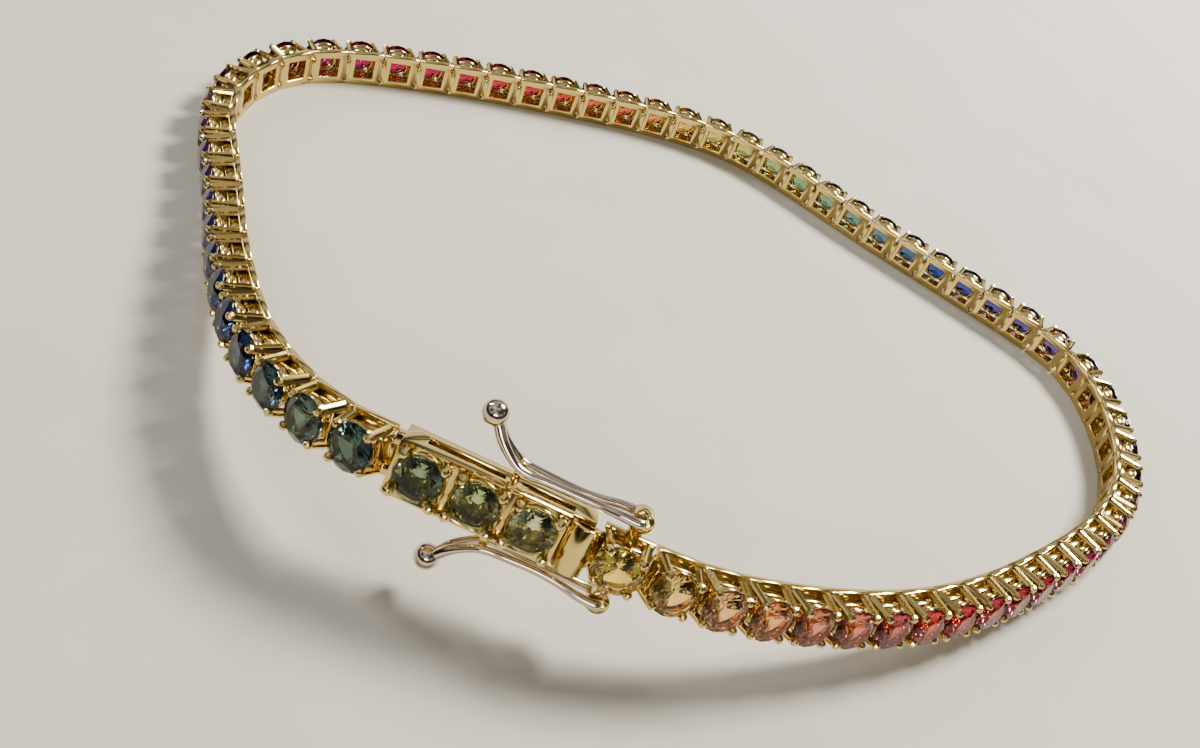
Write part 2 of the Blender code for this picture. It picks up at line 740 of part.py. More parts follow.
def stand_on_floor(root, pieces):
    """Move the whole bracelet so that its box is centred on the origin and its foot is at zero."""
    bpy.context.view_layer.update()
    corners = np.array([piece.matrix_world @ v.co for piece in pieces for v in piece.data.vertices])
    low, high = corners.min(axis=0), corners.max(axis=0)
    root.location = (-(low[0] + high[0]) / 2, -(low[1] + high[1]) / 2, -low[2])
    bpy.context.view_layer.update()


def build_bracelet():
    clear_scene()
    pieces = new_collection("tennis_bracelet")
    tools = new_collection("cutters")
    yellow = material("yellow_gold", YELLOW_GOLD, 1.0, 0.22)
    white = material("white_gold", WHITE_GOLD, 1.0, 0.18)
    root = empty("bracelet", Matrix.Identity(4), pieces)

    joints = closed_joints(clasp_length())
    frames = [frame_between(joints[i], joints[i + 1], (joint_roll(i) + joint_roll(i + 1)) / 2)
              for i in range(LINK_COUNT)]
    clasp_roll = (ROLL_AT_BOX + ROLL_AT_END_LINK) / 2
    clasp_middle = frame_between(joints[-1], joints[0], clasp_roll)
    clasp_frame = clasp_middle @ Matrix.Translation((-clasp_length() / 2, 0, 0))

    template = link_template(tools)
    half = LINK_COUNT // 2
    left = chain_object("chain_left", template, frames[:half], tools)
    right = chain_object("chain_right", template, frames[half:], tools)
    bpy.data.objects.remove(template, do_unlink=True)
    hinge_eye(left, joint_frame(frames[0], joints[0], -1), tools)
    hinge_fork(left, joint_frame(frames[half - 1], joints[half], 1), notched_root(), True, tools)
    hinge_eye(right, joint_frame(frames[half], joints[half], -1), tools)
    hinge_eye(right, joint_frame(frames[-1], joints[-1], 1), tools)
    for chain in (left, right):
        flatten(chain)
        finish(chain, pieces, yellow, root)

    clasp = empty("clasp", clasp_frame, pieces, root)
    box = clasp_box(tools)
    shade_round(box)
    finish(box, pieces, yellow, clasp)
    for number, (along, colour) in enumerate(zip(stone_places(), GREEN_STONES), 1):
        stone = stone_object(f"box_stone_{number}", 0.0, tools, BOX_STONE_DIAMETER)
        finish(stone, pieces, material(f"green_stone_{number}", colour, 0.0, 0.05), clasp)
        stone.location = (along, 0, 0)
    tail = end_link(tools)
    tail.name = "end_link_and_tongue"
    shade_round(tail)
    finish(tail, pieces, yellow, clasp)
    end_stone = stone_object("end_stone", 0.0, tools)
    finish(end_stone, pieces, material("yellow_stone", YELLOW_STONE, 0.0, 0.05), clasp)
    end_stone.location = (end_link_middle(), 0, 0)

    for name, sign in (("latch_upper", 1), ("latch_lower", -1)):
        turn = Matrix.Rotation(0.0 if sign > 0 else math.pi, 4, "X")
        middle = Matrix.Translation((end_link_middle(), LATCH_HEIGHT, sign * ear_rise()))
        axis = empty(name + "_hinge", middle @ turn, pieces, clasp)
        latch = latch_object(name, tools)
        shade_round(latch)
        finish(latch, pieces, white, axis)

    stand_on_floor(root, [piece for piece in pieces.objects if piece.type == "MESH"])
    for cutter in tools.objects:
        cutter.hide_render = True
        cutter.display_type = "WIRE"


build_bracelet()
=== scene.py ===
# %% [markdown]
# # A line bracelet of coloured stones
# A jeweller builds this bracelet from one small link, repeated all the way round, and closes it
# with a box clasp. This file does the same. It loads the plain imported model, makes one cut stone
# and one link, grows the row with Geometry Nodes, and then makes the clasp by hand.
# Lengths are written in millimetres times MM, because Blender works in metres.

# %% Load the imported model
import math

import bmesh
import bpy
import numpy as np
from mathutils import Matrix, Vector


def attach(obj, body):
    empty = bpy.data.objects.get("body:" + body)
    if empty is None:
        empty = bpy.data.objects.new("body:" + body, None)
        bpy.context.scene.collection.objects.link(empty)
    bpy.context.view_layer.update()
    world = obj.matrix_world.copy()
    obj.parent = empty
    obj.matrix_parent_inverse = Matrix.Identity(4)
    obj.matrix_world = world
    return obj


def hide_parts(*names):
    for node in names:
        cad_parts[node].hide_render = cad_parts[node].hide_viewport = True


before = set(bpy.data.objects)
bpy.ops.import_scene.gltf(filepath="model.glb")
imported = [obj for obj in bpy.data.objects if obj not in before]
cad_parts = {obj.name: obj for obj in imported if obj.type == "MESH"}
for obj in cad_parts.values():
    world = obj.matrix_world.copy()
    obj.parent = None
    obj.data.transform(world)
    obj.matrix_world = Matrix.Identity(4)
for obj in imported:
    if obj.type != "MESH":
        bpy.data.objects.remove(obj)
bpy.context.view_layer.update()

MM = 0.001

# %% [markdown]
# ## Camera
# The real camera looked down at about forty degrees and was rolled to one side. A camera could be
# aimed with a Track To constraint, but a constraint can't roll. So its turn is three plain
# rotations: roll about its own axis, tilt up from straight down, then swing round the vertical.

# %% Camera
CAMERA_PLACE = Vector((-3.34, -54.89, 43.83)) * MM
CAMERA_SWING = math.radians(-0.37)
CAMERA_TILT = math.radians(47.77)
CAMERA_ROLL = math.radians(26.50)
FOCAL_SHARE = 0.8686
SENSOR_WIDTH = 36.0


def new_object(name, data):
    made = bpy.data.objects.new(name, data)
    bpy.context.scene.collection.objects.link(made)
    return made


camera = new_object("camera", bpy.data.cameras.new("camera"))
turn = (Matrix.Rotation(CAMERA_SWING, 4, "Z") @ Matrix.Rotation(CAMERA_TILT, 4, "X")
        @ Matrix.Rotation(CAMERA_ROLL, 4, "Z"))
camera.matrix_world = Matrix.Translation(CAMERA_PLACE) @ turn
camera.data.sensor_width = SENSOR_WIDTH
camera.data.lens = FOCAL_SHARE * SENSOR_WIDTH
camera.data.clip_start = 1 * MM
camera.data.clip_end = 10.0
bpy.context.scene.camera = camera
print("camera lens", round(camera.data.lens, 2), "mm")

# %% [markdown]
# ## Building node trees in words
# Both the shapes and the finishes are node trees. One helper adds a node, sets its properties and
# fills its inputs, from values or from the outputs of other nodes. Another runs a finished tree
# and keeps a plain mesh, so that no live nodes are left in the model.

# %% Node helpers
def add(tree, kind, inputs=None, **settings):
    """A node with its settings and inputs. An input is named by its name or its number, and a
    node that is given as a value stands for its first output."""
    made = tree.nodes.new(kind)
    for setting, value in settings.items():
        setattr(made, setting, value)
    for place, value in (inputs or {}).items():
        for one in value if isinstance(value, list) else [value]:
            if isinstance(one, bpy.types.Node):
                one = one.outputs[0]
            if isinstance(one, bpy.types.NodeSocket):
                tree.links.new(one, made.inputs[place])
            else:
                made.inputs[place].default_value = one
    return made


def calc(tree, operation, first, second=0.0):
    return add(tree, "ShaderNodeMath", {0: first, 1: second}, operation=operation).outputs[0]


def mix_colours(tree, share, first, second, way="MIX"):
    """A Mix node also has sockets for numbers: inputs 6 and 7 and output 2 are its colours."""
    mixed = add(tree, "ShaderNodeMix", {"Factor": share, 6: first, 7: second},
                data_type="RGBA", blend_type=way)
    return mixed.outputs[2]


def fill_ramp(ramp, stops):
    """Give a colour ramp its (place, colour) stops."""
    elements = ramp.color_ramp.elements
    while len(elements) < len(stops):
        elements.new(0.5)
    for element, (place, colour) in zip(elements, stops):
        element.position = place
        element.color = (*colour, 1.0)


def at(tree, **axes):
    """A place from its lengths along X, Y and Z."""
    return add(tree, "ShaderNodeCombineXYZ", axes)


def moved(tree, shape, place=(0.0, 0.0, 0.0), turn=(0.0, 0.0, 0.0)):
    return add(tree, "GeometryNodeTransform",
               {"Geometry": shape, "Translation": place, "Rotation": turn})


def copies_on(tree, points, shape, turn):
    """Copies of an object on points, each with its turn."""
    info = add(tree, "GeometryNodeObjectInfo", {"Object": shape, "As Instance": True})
    return add(tree, "GeometryNodeInstanceOnPoints",
               {"Points": points, "Instance": info.outputs["Geometry"], "Rotation": turn})


def new_tree(name, kind, sizes, results):
    """A node group with named inputs, {name: (socket type, value)}, and named outputs."""
    tree = bpy.data.node_groups.new(name, kind)
    for label, (socket_type, value) in sizes.items():
        socket = tree.interface.new_socket(label, in_out="INPUT", socket_type=socket_type)
        if value is not None:
            socket.default_value = value
    for label, socket_type in results.items():
        tree.interface.new_socket(label, in_out="OUTPUT", socket_type=socket_type)
    return tree, tree.nodes.new("NodeGroupInput").outputs, tree.nodes.new("NodeGroupOutput").inputs


LENGTH, SHARE, COUNT = "NodeSocketFloat", "NodeSocketFloat", "NodeSocketInt"
SHAPE, FINISH, GEOMETRY = "NodeSocketObject", "NodeSocketMaterial", "NodeSocketGeometry"


# %% Helpers that end and run a tree
def end_tree(tree, shape, finish, outlet):
    """Every tree of shapes ends by making its copies real and giving them their finish."""
    real = add(tree, "GeometryNodeRealizeInstances", {0: shape})
    finished = add(tree, "GeometryNodeSetMaterial", {"Geometry": real, "Material": finish})
    tree.links.new(finished.outputs[0], outlet)


def point_outwards(mesh):
    bm = bmesh.new()
    bm.from_mesh(mesh)
    bmesh.ops.recalc_face_normals(bm, faces=bm.faces)
    bm.to_mesh(mesh)
    bm.free()


def grow(name, tree, sizes, start=None):
    """Run a Geometry Nodes tree on a starting mesh and keep the result as a plain mesh object."""
    made = new_object(name, start or bpy.data.meshes.new(name))
    step = made.modifiers.new("grow", "NODES")
    step.node_group = tree
    for socket in tree.interface.items_tree:
        if socket.in_out == "INPUT" and socket.name in sizes:
            step[socket.identifier] = sizes[socket.name]
    return keep_shape(made)


def finished_mesh(made):
    """A plain mesh of an object as its modifiers, or a curve's thickness, leave it."""
    bpy.context.view_layer.update()
    ready = made.evaluated_get(bpy.context.evaluated_depsgraph_get())
    return bpy.data.meshes.new_from_object(ready)


def keep_shape(made):
    """Swap an object's mesh for its finished one, and drop the modifiers."""
    result = finished_mesh(made)
    result.name = made.name
    made.modifiers.clear()
    made.data = result
    print(made.name, len(result.polygons), "faces")
    return made


def finish_with(made, material):
    """One finish for the whole piece."""
    made.data.materials.clear()
    made.data.materials.append(material)
    for face in made.data.polygons:
        face.material_index = 0


def discard(*shapes):
    for shape in shapes:
        bpy.data.objects.remove(shape, do_unlink=True)

# %% [markdown]
# ## Light
# Polished gold shows what is round it, so it needs bright and dark places to mirror. One large
# soft lamp stands behind, two weak ones stand beside and in front, and a low strip far behind
# shows in the upward walls of the clasp. The sky is bright overhead and dim near the horizon,
# with soft patches in it like the windows and walls of a room. That gives long highlights and
# leaves dark streaks between them. Where the sky is seen directly, past the floor, it is an even
# pale backdrop.

# %% Lamps
def area_lamp(name, place, size, watts, colour):
    lamp = new_object(name, bpy.data.lights.new(name, "AREA"))
    lamp.data.shape = "RECTANGLE"
    lamp.data.size, lamp.data.size_y = size
    lamp.data.energy = watts
    lamp.data.color = colour
    lamp.location = place
    lamp.rotation_euler = (-Vector(place)).to_track_quat("-Z", "Y").to_euler()
    lamp.visible_camera = False
    print(name, watts, "W")


area_lamp("back_lamp", (0.15, 0.22, 0.28), (0.13, 0.09), 4.6, (1.0, 0.97, 0.90))
area_lamp("side_lamp", (-0.28, 0.10, 0.20), (0.05, 0.16), 0.7, (0.95, 0.97, 1.0))
area_lamp("front_lamp", (0.05, -0.30, 0.16), (0.14, 0.03), 0.35, (1.0, 0.96, 0.90))
area_lamp("low_strip", (0.0, 0.45, 0.05), (0.60, 0.10), 0.15, (1.0, 0.95, 0.88))

# %% Sky
SKY_STOPS = [(0.00, 0.07), (0.50, 0.09), (0.56, 0.04), (0.66, 0.12), (0.76, 0.60), (1.00, 1.00)]
SKY_TINT = (1.0, 0.985, 0.96)
SKY_STRENGTH = 0.50
BACKDROP = (1.35, 1.29, 1.18, 1.0)

world = bpy.data.worlds.new("soft_studio")
bpy.context.scene.world = world
world.use_nodes = True
sky = world.node_tree
background = sky.nodes["Background"]
direction = add(sky, "ShaderNodeTexCoord").outputs["Generated"]
height = add(sky, "ShaderNodeSeparateXYZ", {"Vector": direction}).outputs["Z"]
from_below = add(sky, "ShaderNodeMapRange", {"Value": height, "From Min": -1.0})
brightness = add(sky, "ShaderNodeValToRGB", {"Fac": from_below})
fill_ramp(brightness, [(stop, [level * tint for tint in SKY_TINT]) for stop, level in SKY_STOPS])
patches = add(sky, "ShaderNodeTexNoise", {"Vector": direction, "Scale": 1.9, "Detail": 1.0})
contrast = add(sky, "ShaderNodeMapRange", {"Value": patches, "From Min": 0.42, "From Max": 0.58,
                                           "To Min": 0.15, "To Max": 1.9})
patched = mix_colours(sky, 1.0, brightness, contrast, "MULTIPLY")
seen_directly = add(sky, "ShaderNodeLightPath").outputs["Is Camera Ray"]
shown = mix_colours(sky, seen_directly, patched, BACKDROP)
sky.links.new(shown, background.inputs["Color"])
background.inputs["Strength"].default_value = SKY_STRENGTH

# %% [markdown]
# ## Where the links lie
# The row lies in a loose loop that was settled with the solids, as a few points round the loop.
# The same points are walked here again, one link at a time, so that each link gets a place and a
# turn. Near the clasp the row lifts off the table and leans outwards, fading link by link.

# %% Sizes of the row
LINK_PITCH = 2.656 * MM
LINK_COUNT = 62
LINK_WIDTH = 2.60 * MM
LINK_GAP = 0.16 * MM
PLATE_THICKNESS = 0.40 * MM
GIRDLE_HEIGHT = 1.58 * MM
STONE_PAVILION = 0.70 * MM
STONE_DIAMETER = 2.50 * MM

LOOP_ROUTE = [
    (-0.111, -0.047),
    (-0.225, -0.001),
    (-0.306, 0.088),
    (-0.375, 0.192),
    (-0.448, 0.303),
    (-0.456, 0.388),
    (-0.424, 0.456),
    (-0.334, 0.528),
    (-0.200, 0.608),
    (-0.054, 0.678),
    (0.058, 0.697),
    (0.212, 0.660),
    (0.366, 0.626),
    (0.478, 0.594),
    (0.528, 0.530),
    (0.546, 0.428),
    (0.524, 0.340),
    (0.461, 0.241),
    (0.353, 0.117),
    (0.229, 0.026),
    (0.089, -0.033),
]
LOOP_WIDTH_RANGE = (50.0 * MM, 85.0 * MM)
ROUTE_STEPS = 60
BISECTION_STEPS = 40

LIFT_AT_BOX = 4.5 * MM
LIFT_AT_END_LINK = 3.9 * MM
LIFT_LINKS = 13
LIFT_POWER = 1.8
ROLL_AT_BOX = math.radians(24.0)
ROLL_AT_END_LINK = math.radians(24.0)
ROLL_LINKS_AT_BOX = 10
ROLL_LINKS_AT_END_LINK = 26
ROLL_POWER_AT_BOX = 1.5
ROLL_POWER_AT_END_LINK = 1.0

# %% Sizes of the clasp
BOX_WIDTH = 2.85 * MM
BOX_MOUTH = 1.25 * MM
BOX_HINGE_SPACE = 0.45 * MM
BOX_STONES = 3
BOX_STONE_DIAMETER = 2.46 * MM
BOX_STONE_PITCH = 2.84 * MM
BOX_STONE_INSET = 1.20 * MM
BOX_SEAT_MARGIN = 0.14 * MM
END_LINK_SPACE = 0.55 * MM

stone_row = (BOX_STONES - 1) * BOX_STONE_PITCH + BOX_STONE_DIAMETER / 2
box_length = BOX_STONE_INSET + stone_row + BOX_SEAT_MARGIN + BOX_MOUTH
clasp_length = END_LINK_SPACE + LINK_PITCH + box_length + BOX_HINGE_SPACE - LINK_GAP / 2
box_far = clasp_length - BOX_HINGE_SPACE
box_near = box_far - box_length
box_stone_places = [box_far - BOX_STONE_INSET - i * BOX_STONE_PITCH for i in range(BOX_STONES)]


# %% Walk round the loop
def smooth_line(knots, steps):
    """A smooth line from the second knot to the last but one, as many small steps."""
    line = []
    for before, start, end, after in zip(knots, knots[1:], knots[2:], knots[3:]):
        for t in np.linspace(0.0, 1.0, steps, endpoint=False):
            line.append(0.5 * (2 * start + (end - before) * t
                               + (2 * before - 5 * start + 4 * end - after) * t ** 2
                               + (3 * start - before - 3 * end + after) * t ** 3))
    return np.array(line)


def fade(links_away, reach, power):
    return max(0.0, 1.0 - links_away / reach) ** power


def joint_roll(index):
    at_box = ROLL_AT_BOX * fade(index, ROLL_LINKS_AT_BOX, ROLL_POWER_AT_BOX)
    from_end = LINK_COUNT - index
    at_end = ROLL_AT_END_LINK * fade(from_end, ROLL_LINKS_AT_END_LINK, ROLL_POWER_AT_END_LINK)
    return at_box + at_end


def joint_height(index):
    at_box = LIFT_AT_BOX * fade(index, LIFT_LINKS, LIFT_POWER)
    at_end = LIFT_AT_END_LINK * fade(LINK_COUNT - index, LIFT_LINKS, LIFT_POWER)
    roll = joint_roll(index)
    edge = LINK_WIDTH / 2 * math.cos(roll) + PLATE_THICKNESS / 2 * math.sin(roll)
    return at_box + at_end + edge


def walk_joints(curve, width):
    """Joints one link apart along the scaled curve, starting at the clasp's box."""
    track = curve * width
    places = [Vector((*track[0], joint_height(0)))]
    reached = 0
    for index in range(1, LINK_COUNT + 1):
        height = joint_height(index)
        step = math.sqrt(LINK_PITCH ** 2 - (height - places[-1].z) ** 2)
        here = np.array(places[-1][:2])
        while np.hypot(*(track[(reached + 1) % len(track)] - here)) < step:
            reached += 1
        low, high = 0.0, 1.0
        first = track[reached % len(track)]
        second = track[(reached + 1) % len(track)]
        for _ in range(BISECTION_STEPS):
            middle = (low + high) / 2
            if np.hypot(*(first + (second - first) * middle - here)) < step:
                low = middle
            else:
                high = middle
        places.append(Vector((*(first + (second - first) * low), height)))
    return places


def closed_joints(opening):
    """Scale the route until the row leaves just the clasp's length open."""
    closed = np.array([LOOP_ROUTE[-1], *LOOP_ROUTE, *LOOP_ROUTE[:2]])
    curve = smooth_line(closed, ROUTE_STEPS)
    low, high = LOOP_WIDTH_RANGE
    for _ in range(BISECTION_STEPS):
        width = (low + high) / 2
        places = walk_joints(curve, width)
        if (places[0] - places[-1]).length < opening:
            low = width
        else:
            high = width
    return places


def frame_between(start, end, roll):
    """Axes of a piece between two joints: X along, Y outward and Z across, leaning by roll."""
    along = (end - start).normalized()
    across = (Vector((0, 0, 1)) - along * along.z).normalized()
    outward = across.cross(along)
    out = outward * math.cos(roll) + across * math.sin(roll)
    up = across * math.cos(roll) - outward * math.sin(roll)
    return Matrix.Translation((start + end) / 2) @ Matrix((along, out, up)).transposed().to_4x4()


joints = closed_joints(clasp_length)
clasp = (frame_between(joints[-1], joints[0], (ROLL_AT_BOX + ROLL_AT_END_LINK) / 2)
         @ Matrix.Translation((-clasp_length / 2, 0, 0)))

# %% [markdown]
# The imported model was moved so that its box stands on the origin. The point of the first green
# stone's cone says by how much: it is known here from the sizes, and it can be read from the
# packed stone, as the corner that lies furthest in.

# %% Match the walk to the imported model
inward = -clasp.col[1].to_3d()
packed_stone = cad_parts["box_stone_1"].data.vertices
packed_point = max((v.co for v in packed_stone), key=lambda place: place.dot(inward))
known_point = clasp @ Vector((box_stone_places[0], GIRDLE_HEIGHT - STONE_PAVILION, 0))
shift = Matrix.Translation(packed_point - known_point)
joints = [shift @ joint for joint in joints]
clasp = shift @ clasp
link_frames = [frame_between(joints[i], joints[i + 1], (joint_roll(i) + joint_roll(i + 1)) / 2)
               for i in range(LINK_COUNT)]
print("shift in mm", [round(c / MM, 3) for c in shift.translation])

# %% [markdown]
# ## Finishes
# All the gold has the same kinds of wear: soft smudges, hair scratches and a slightly warmer tone
# in places. They are one node group with named inputs, used by both metals with other values.
# The group reads Object coordinates, so the marks stay on the metal when a latch swings.

# %% Wear group for polished metal
SCRATCH_DEPTH = 0.03
SCRATCH_STRETCH = (1.0, 0.18, 0.45)
wear, given, result = new_tree(
    "polish_wear", "ShaderNodeTree",
    {"Smudge size": (LENGTH, 1.2 * MM), "Smudge depth": (SHARE, 0.10),
     "Scratch size": (LENGTH, 0.12 * MM), "Base roughness": (SHARE, 0.12)},
    {"Tone": "NodeSocketFloat", "Roughness": "NodeSocketFloat", "Height": "NodeSocketFloat"})
place_on_piece = add(wear, "ShaderNodeTexCoord").outputs["Object"]
smudge_scale = calc(wear, "DIVIDE", 1.0, given["Smudge size"])
scratch_scale = calc(wear, "DIVIDE", 1.0, given["Scratch size"])
smudges = add(wear, "ShaderNodeTexNoise", {"Vector": place_on_piece, "Scale": smudge_scale,
                                           "Detail": 3.0, "Distortion": 0.6})
stretched = add(wear, "ShaderNodeVectorMath", {0: place_on_piece, 1: SCRATCH_STRETCH},
                operation="MULTIPLY")
scratches = add(wear, "ShaderNodeTexNoise", {"Vector": stretched, "Scale": scratch_scale,
                                             "Detail": 5.0, "Roughness": 0.75})
smudge_share = calc(wear, "MULTIPLY", smudges, given["Smudge depth"])
scratch_share = calc(wear, "MULTIPLY", scratches, SCRATCH_DEPTH)
marks = calc(wear, "ADD", smudge_share, scratch_share)
wear.links.new(smudges.outputs[0], result["Tone"])
wear.links.new(calc(wear, "ADD", given["Base roughness"], marks), result["Roughness"])
wear.links.new(scratches.outputs[0], result["Height"])


# %% [markdown]
# A metal mixes a pale and a deep tone of itself by the group's Tone, because a plain single
# colour looks like paint. The bump is only a hundredth of a millimetre deep.

# %% Gold and white gold
def principled(name):
    made = bpy.data.materials.new(name)
    made.use_nodes = True
    return made, made.node_tree, made.node_tree.nodes["Principled BSDF"]


def polished_metal(name, pale, deep, roughness, smudge_depth):
    made, tree, shader = principled(name)
    marks = add(tree, "ShaderNodeGroup", {"Base roughness": roughness, "Smudge depth": smudge_depth},
                node_tree=wear)
    tone = mix_colours(tree, marks.outputs["Tone"], (*pale, 1.0), (*deep, 1.0))
    bump = add(tree, "ShaderNodeBump", {"Height": marks.outputs["Height"], "Strength": 0.12,
                                        "Distance": 0.01 * MM})
    tree.links.new(tone, shader.inputs["Base Color"])
    tree.links.new(marks.outputs["Roughness"], shader.inputs["Roughness"])
    tree.links.new(bump.outputs["Normal"], shader.inputs["Normal"])
    shader.inputs["Metallic"].default_value = 1.0
    return made


yellow_gold = polished_metal("yellow_gold", (0.80, 0.62, 0.25), (0.62, 0.45, 0.135), 0.08, 0.09)
white_gold = polished_metal("white_gold", (0.78, 0.67, 0.55), (0.56, 0.45, 0.35), 0.07, 0.08)

# %% [markdown]
# Natural sapphires are seldom one even colour: the tint lies in soft zones. A second group takes
# a colour and clouds it. The stone itself is clear, so the shader is glass-like, with the high
# refraction of corundum, and the facets do the rest.

# %% Zoning group for stones
SAPPHIRE_IOR = 1.77
STONE_GLOSS = (0.35, 0.35, 0.35, 1.0)
HUE_DRIFT = 0.06
zoning, given, result = new_tree(
    "colour_zones", "ShaderNodeTree",
    {"Colour": ("NodeSocketColor", (0.5, 0.5, 0.5, 1.0)), "Zone size": (LENGTH, 0.9 * MM),
     "Depth": (SHARE, 0.5)},
    {"Colour": "NodeSocketColor"})
place_on_piece = add(zoning, "ShaderNodeTexCoord").outputs["Object"]
clouds = add(zoning, "ShaderNodeTexNoise",
             {"Vector": place_on_piece, "Scale": calc(zoning, "DIVIDE", 1.0, given["Zone size"]),
              "Detail": 2.0, "Roughness": 0.45})
around_half = calc(zoning, "SUBTRACT", clouds, 0.5)
value = calc(zoning, "ADD", calc(zoning, "MULTIPLY", around_half, given["Depth"]), 1.0)
shifted_hue = calc(zoning, "ADD", calc(zoning, "MULTIPLY", around_half, HUE_DRIFT), 0.5)
clouded = add(zoning, "ShaderNodeHueSaturation",
              {"Color": given["Colour"], "Value": value, "Hue": shifted_hue})
zoning.links.new(clouded.outputs["Color"], result["Colour"])


# %% Stone material
COLOUR = "stone_colour"


def cut_stone(name):
    """A clear stone that reads its colour from the mesh."""
    made, tree, shader = principled(name)
    colour = add(tree, "ShaderNodeAttribute", attribute_name=COLOUR)
    clouded = add(tree, "ShaderNodeGroup", node_tree=zoning)
    tree.links.new(colour.outputs["Color"], clouded.inputs["Colour"])
    tree.links.new(clouded.outputs["Colour"], shader.inputs["Base Color"])
    shader.inputs["Roughness"].default_value = 0.02
    shader.inputs["IOR"].default_value = SAPPHIRE_IOR
    shader.inputs["Transmission Weight"].default_value = 1.0
    shader.inputs["Specular Tint"].default_value = STONE_GLOSS
    return made


sapphire = cut_stone("coloured_sapphire")

# %% [markdown]
# ## The cut of a stone
# A round stone has a flat table, eight kites and sixteen small facets round its edge, and the
# same kind of facets below, down to a point. Facets could be cut away one by one. It is simpler
# to place the corners where they meet, in a few rings, and to wrap a convex hull round them:
# the hull's flat sides are the facets. Where a kite's side corners lie follows from the slope
# of the crown, so the kites come out flat.

# %% Stone tree
HALF_FACET = math.pi / 8
LOWER_FACET_REACH = 0.25
CULET_SHARE = 0.01
Z_TO_OUTWARD = (-math.pi / 2, 0.0, 0.0)
cut, given, result = new_tree(
    "round_cut", "GeometryNodeTree",
    {"Diameter": (LENGTH, STONE_DIAMETER), "Table share": (SHARE, 0.57), "Crown": (LENGTH, 0.34 * MM),
     "Girdle": (LENGTH, 0.05 * MM), "Pavilion": (LENGTH, 0.95 * MM), "Lift": (LENGTH, 0.0),
     "Finish": (FINISH, sapphire)},
    {"Stone": GEOMETRY})


def ring(tree, sides, radius, height, turn=0.0):
    circle = add(tree, "GeometryNodeMeshCircle", {"Vertices": sides, "Radius": radius})
    return moved(tree, circle, at(tree, Z=height), (0.0, 0.0, turn))


radius = calc(cut, "MULTIPLY", given["Diameter"], 0.5)
table = calc(cut, "MULTIPLY", radius, given["Table share"])
half_girdle = calc(cut, "MULTIPLY", given["Girdle"], 0.5)
table_edge = calc(cut, "MULTIPLY", table, math.cos(HALF_FACET))
star = calc(cut, "MULTIPLY", calc(cut, "ADD", table_edge, radius), 0.5)
star_reach = calc(cut, "SUBTRACT", calc(cut, "MULTIPLY", star, math.cos(HALF_FACET)), table)
crown_slope = calc(cut, "DIVIDE", given["Crown"], calc(cut, "SUBTRACT", radius, table))
top = calc(cut, "ADD", half_girdle, given["Crown"])
star_height = calc(cut, "SUBTRACT", top, calc(cut, "MULTIPLY", star_reach, crown_slope))
lower = calc(cut, "MULTIPLY", radius, LOWER_FACET_REACH)
lower_drop = 1.0 - LOWER_FACET_REACH * math.cos(HALF_FACET)
below = calc(cut, "MULTIPLY", half_girdle, -1.0)
lower_height = calc(cut, "SUBTRACT", below, calc(cut, "MULTIPLY", given["Pavilion"], lower_drop))
culet = calc(cut, "SUBTRACT", below, given["Pavilion"])
corners = add(cut, "GeometryNodeJoinGeometry", {0: [
    ring(cut, 8, table, top),
    ring(cut, 8, star, star_height, HALF_FACET),
    ring(cut, 16, radius, half_girdle),
    ring(cut, 16, radius, below),
    ring(cut, 8, lower, lower_height, HALF_FACET),
    ring(cut, 3, calc(cut, "MULTIPLY", radius, CULET_SHARE), culet)]})
hull = add(cut, "GeometryNodeConvexHull", {0: corners})
upright = moved(cut, hull, at(cut, Y=given["Lift"]), Z_TO_OUTWARD)
end_tree(cut, upright, given["Finish"], result["Stone"])

chain_stone = grow("chain_stone_shape", cut, {"Lift": GIRDLE_HEIGHT})

# %% [markdown]
# ## A grooved prong
# Each prong is a leaning post with fine V grooves along it, and its tip is beaded over the
# stone's edge. A round bar could be carved, but a swept outline is easier: a ring of twelve
# points, with every second point pulled in, is drawn out along a short line that tapers.

# %% Prong tree
PRONG_RIDGES = 6
prong, given, result = new_tree(
    "grooved_prong", "GeometryNodeTree",
    {"Height": (LENGTH, 1.55 * MM), "Foot": (LENGTH, 0.26 * MM), "Neck": (LENGTH, 0.23 * MM),
     "Groove": (SHARE, 0.32), "Bead": (LENGTH, 0.25 * MM), "Finish": (FINISH, yellow_gold)},
    {"Prong": GEOMETRY})
top_place = at(prong, Z=given["Height"])
line = add(prong, "GeometryNodeCurvePrimitiveLine", {"End": top_place})
steps = add(prong, "GeometryNodeResampleCurve", {"Curve": line, "Count": 4})
taper = add(prong, "ShaderNodeMix", {"Factor": add(prong, "GeometryNodeSplineParameter"),
                                     2: given["Foot"], 3: given["Neck"]})
outline = add(prong, "GeometryNodeCurvePrimitiveCircle", {"Resolution": 2 * PRONG_RIDGES, "Radius": 1.0})
odd = calc(prong, "MODULO", add(prong, "GeometryNodeInputIndex"), 2.0)
pull = calc(prong, "SUBTRACT", 1.0, calc(prong, "MULTIPLY", odd, given["Groove"]))
inset = add(prong, "ShaderNodeVectorMath",
            {0: add(prong, "GeometryNodeInputPosition"), 3: pull}, operation="SCALE")
grooved = add(prong, "GeometryNodeSetPosition", {"Geometry": outline, "Position": inset})
squared = moved(prong, grooved, turn=(0.0, 0.0, math.pi / 4))
post = add(prong, "GeometryNodeCurveToMesh",
           {"Curve": steps, "Profile Curve": squared, "Scale": taper, "Fill Caps": True})
flat = add(prong, "GeometryNodeSetShadeSmooth", {0: post, "Shade Smooth": False})
ball = add(prong, "GeometryNodeMeshUVSphere",
           {"Segments": 10, "Rings": 6, "Radius": given["Bead"]})
joined = add(prong, "GeometryNodeJoinGeometry", {0: [flat, moved(prong, ball, top_place)]})
end_tree(prong, joined, given["Finish"], result["Prong"])

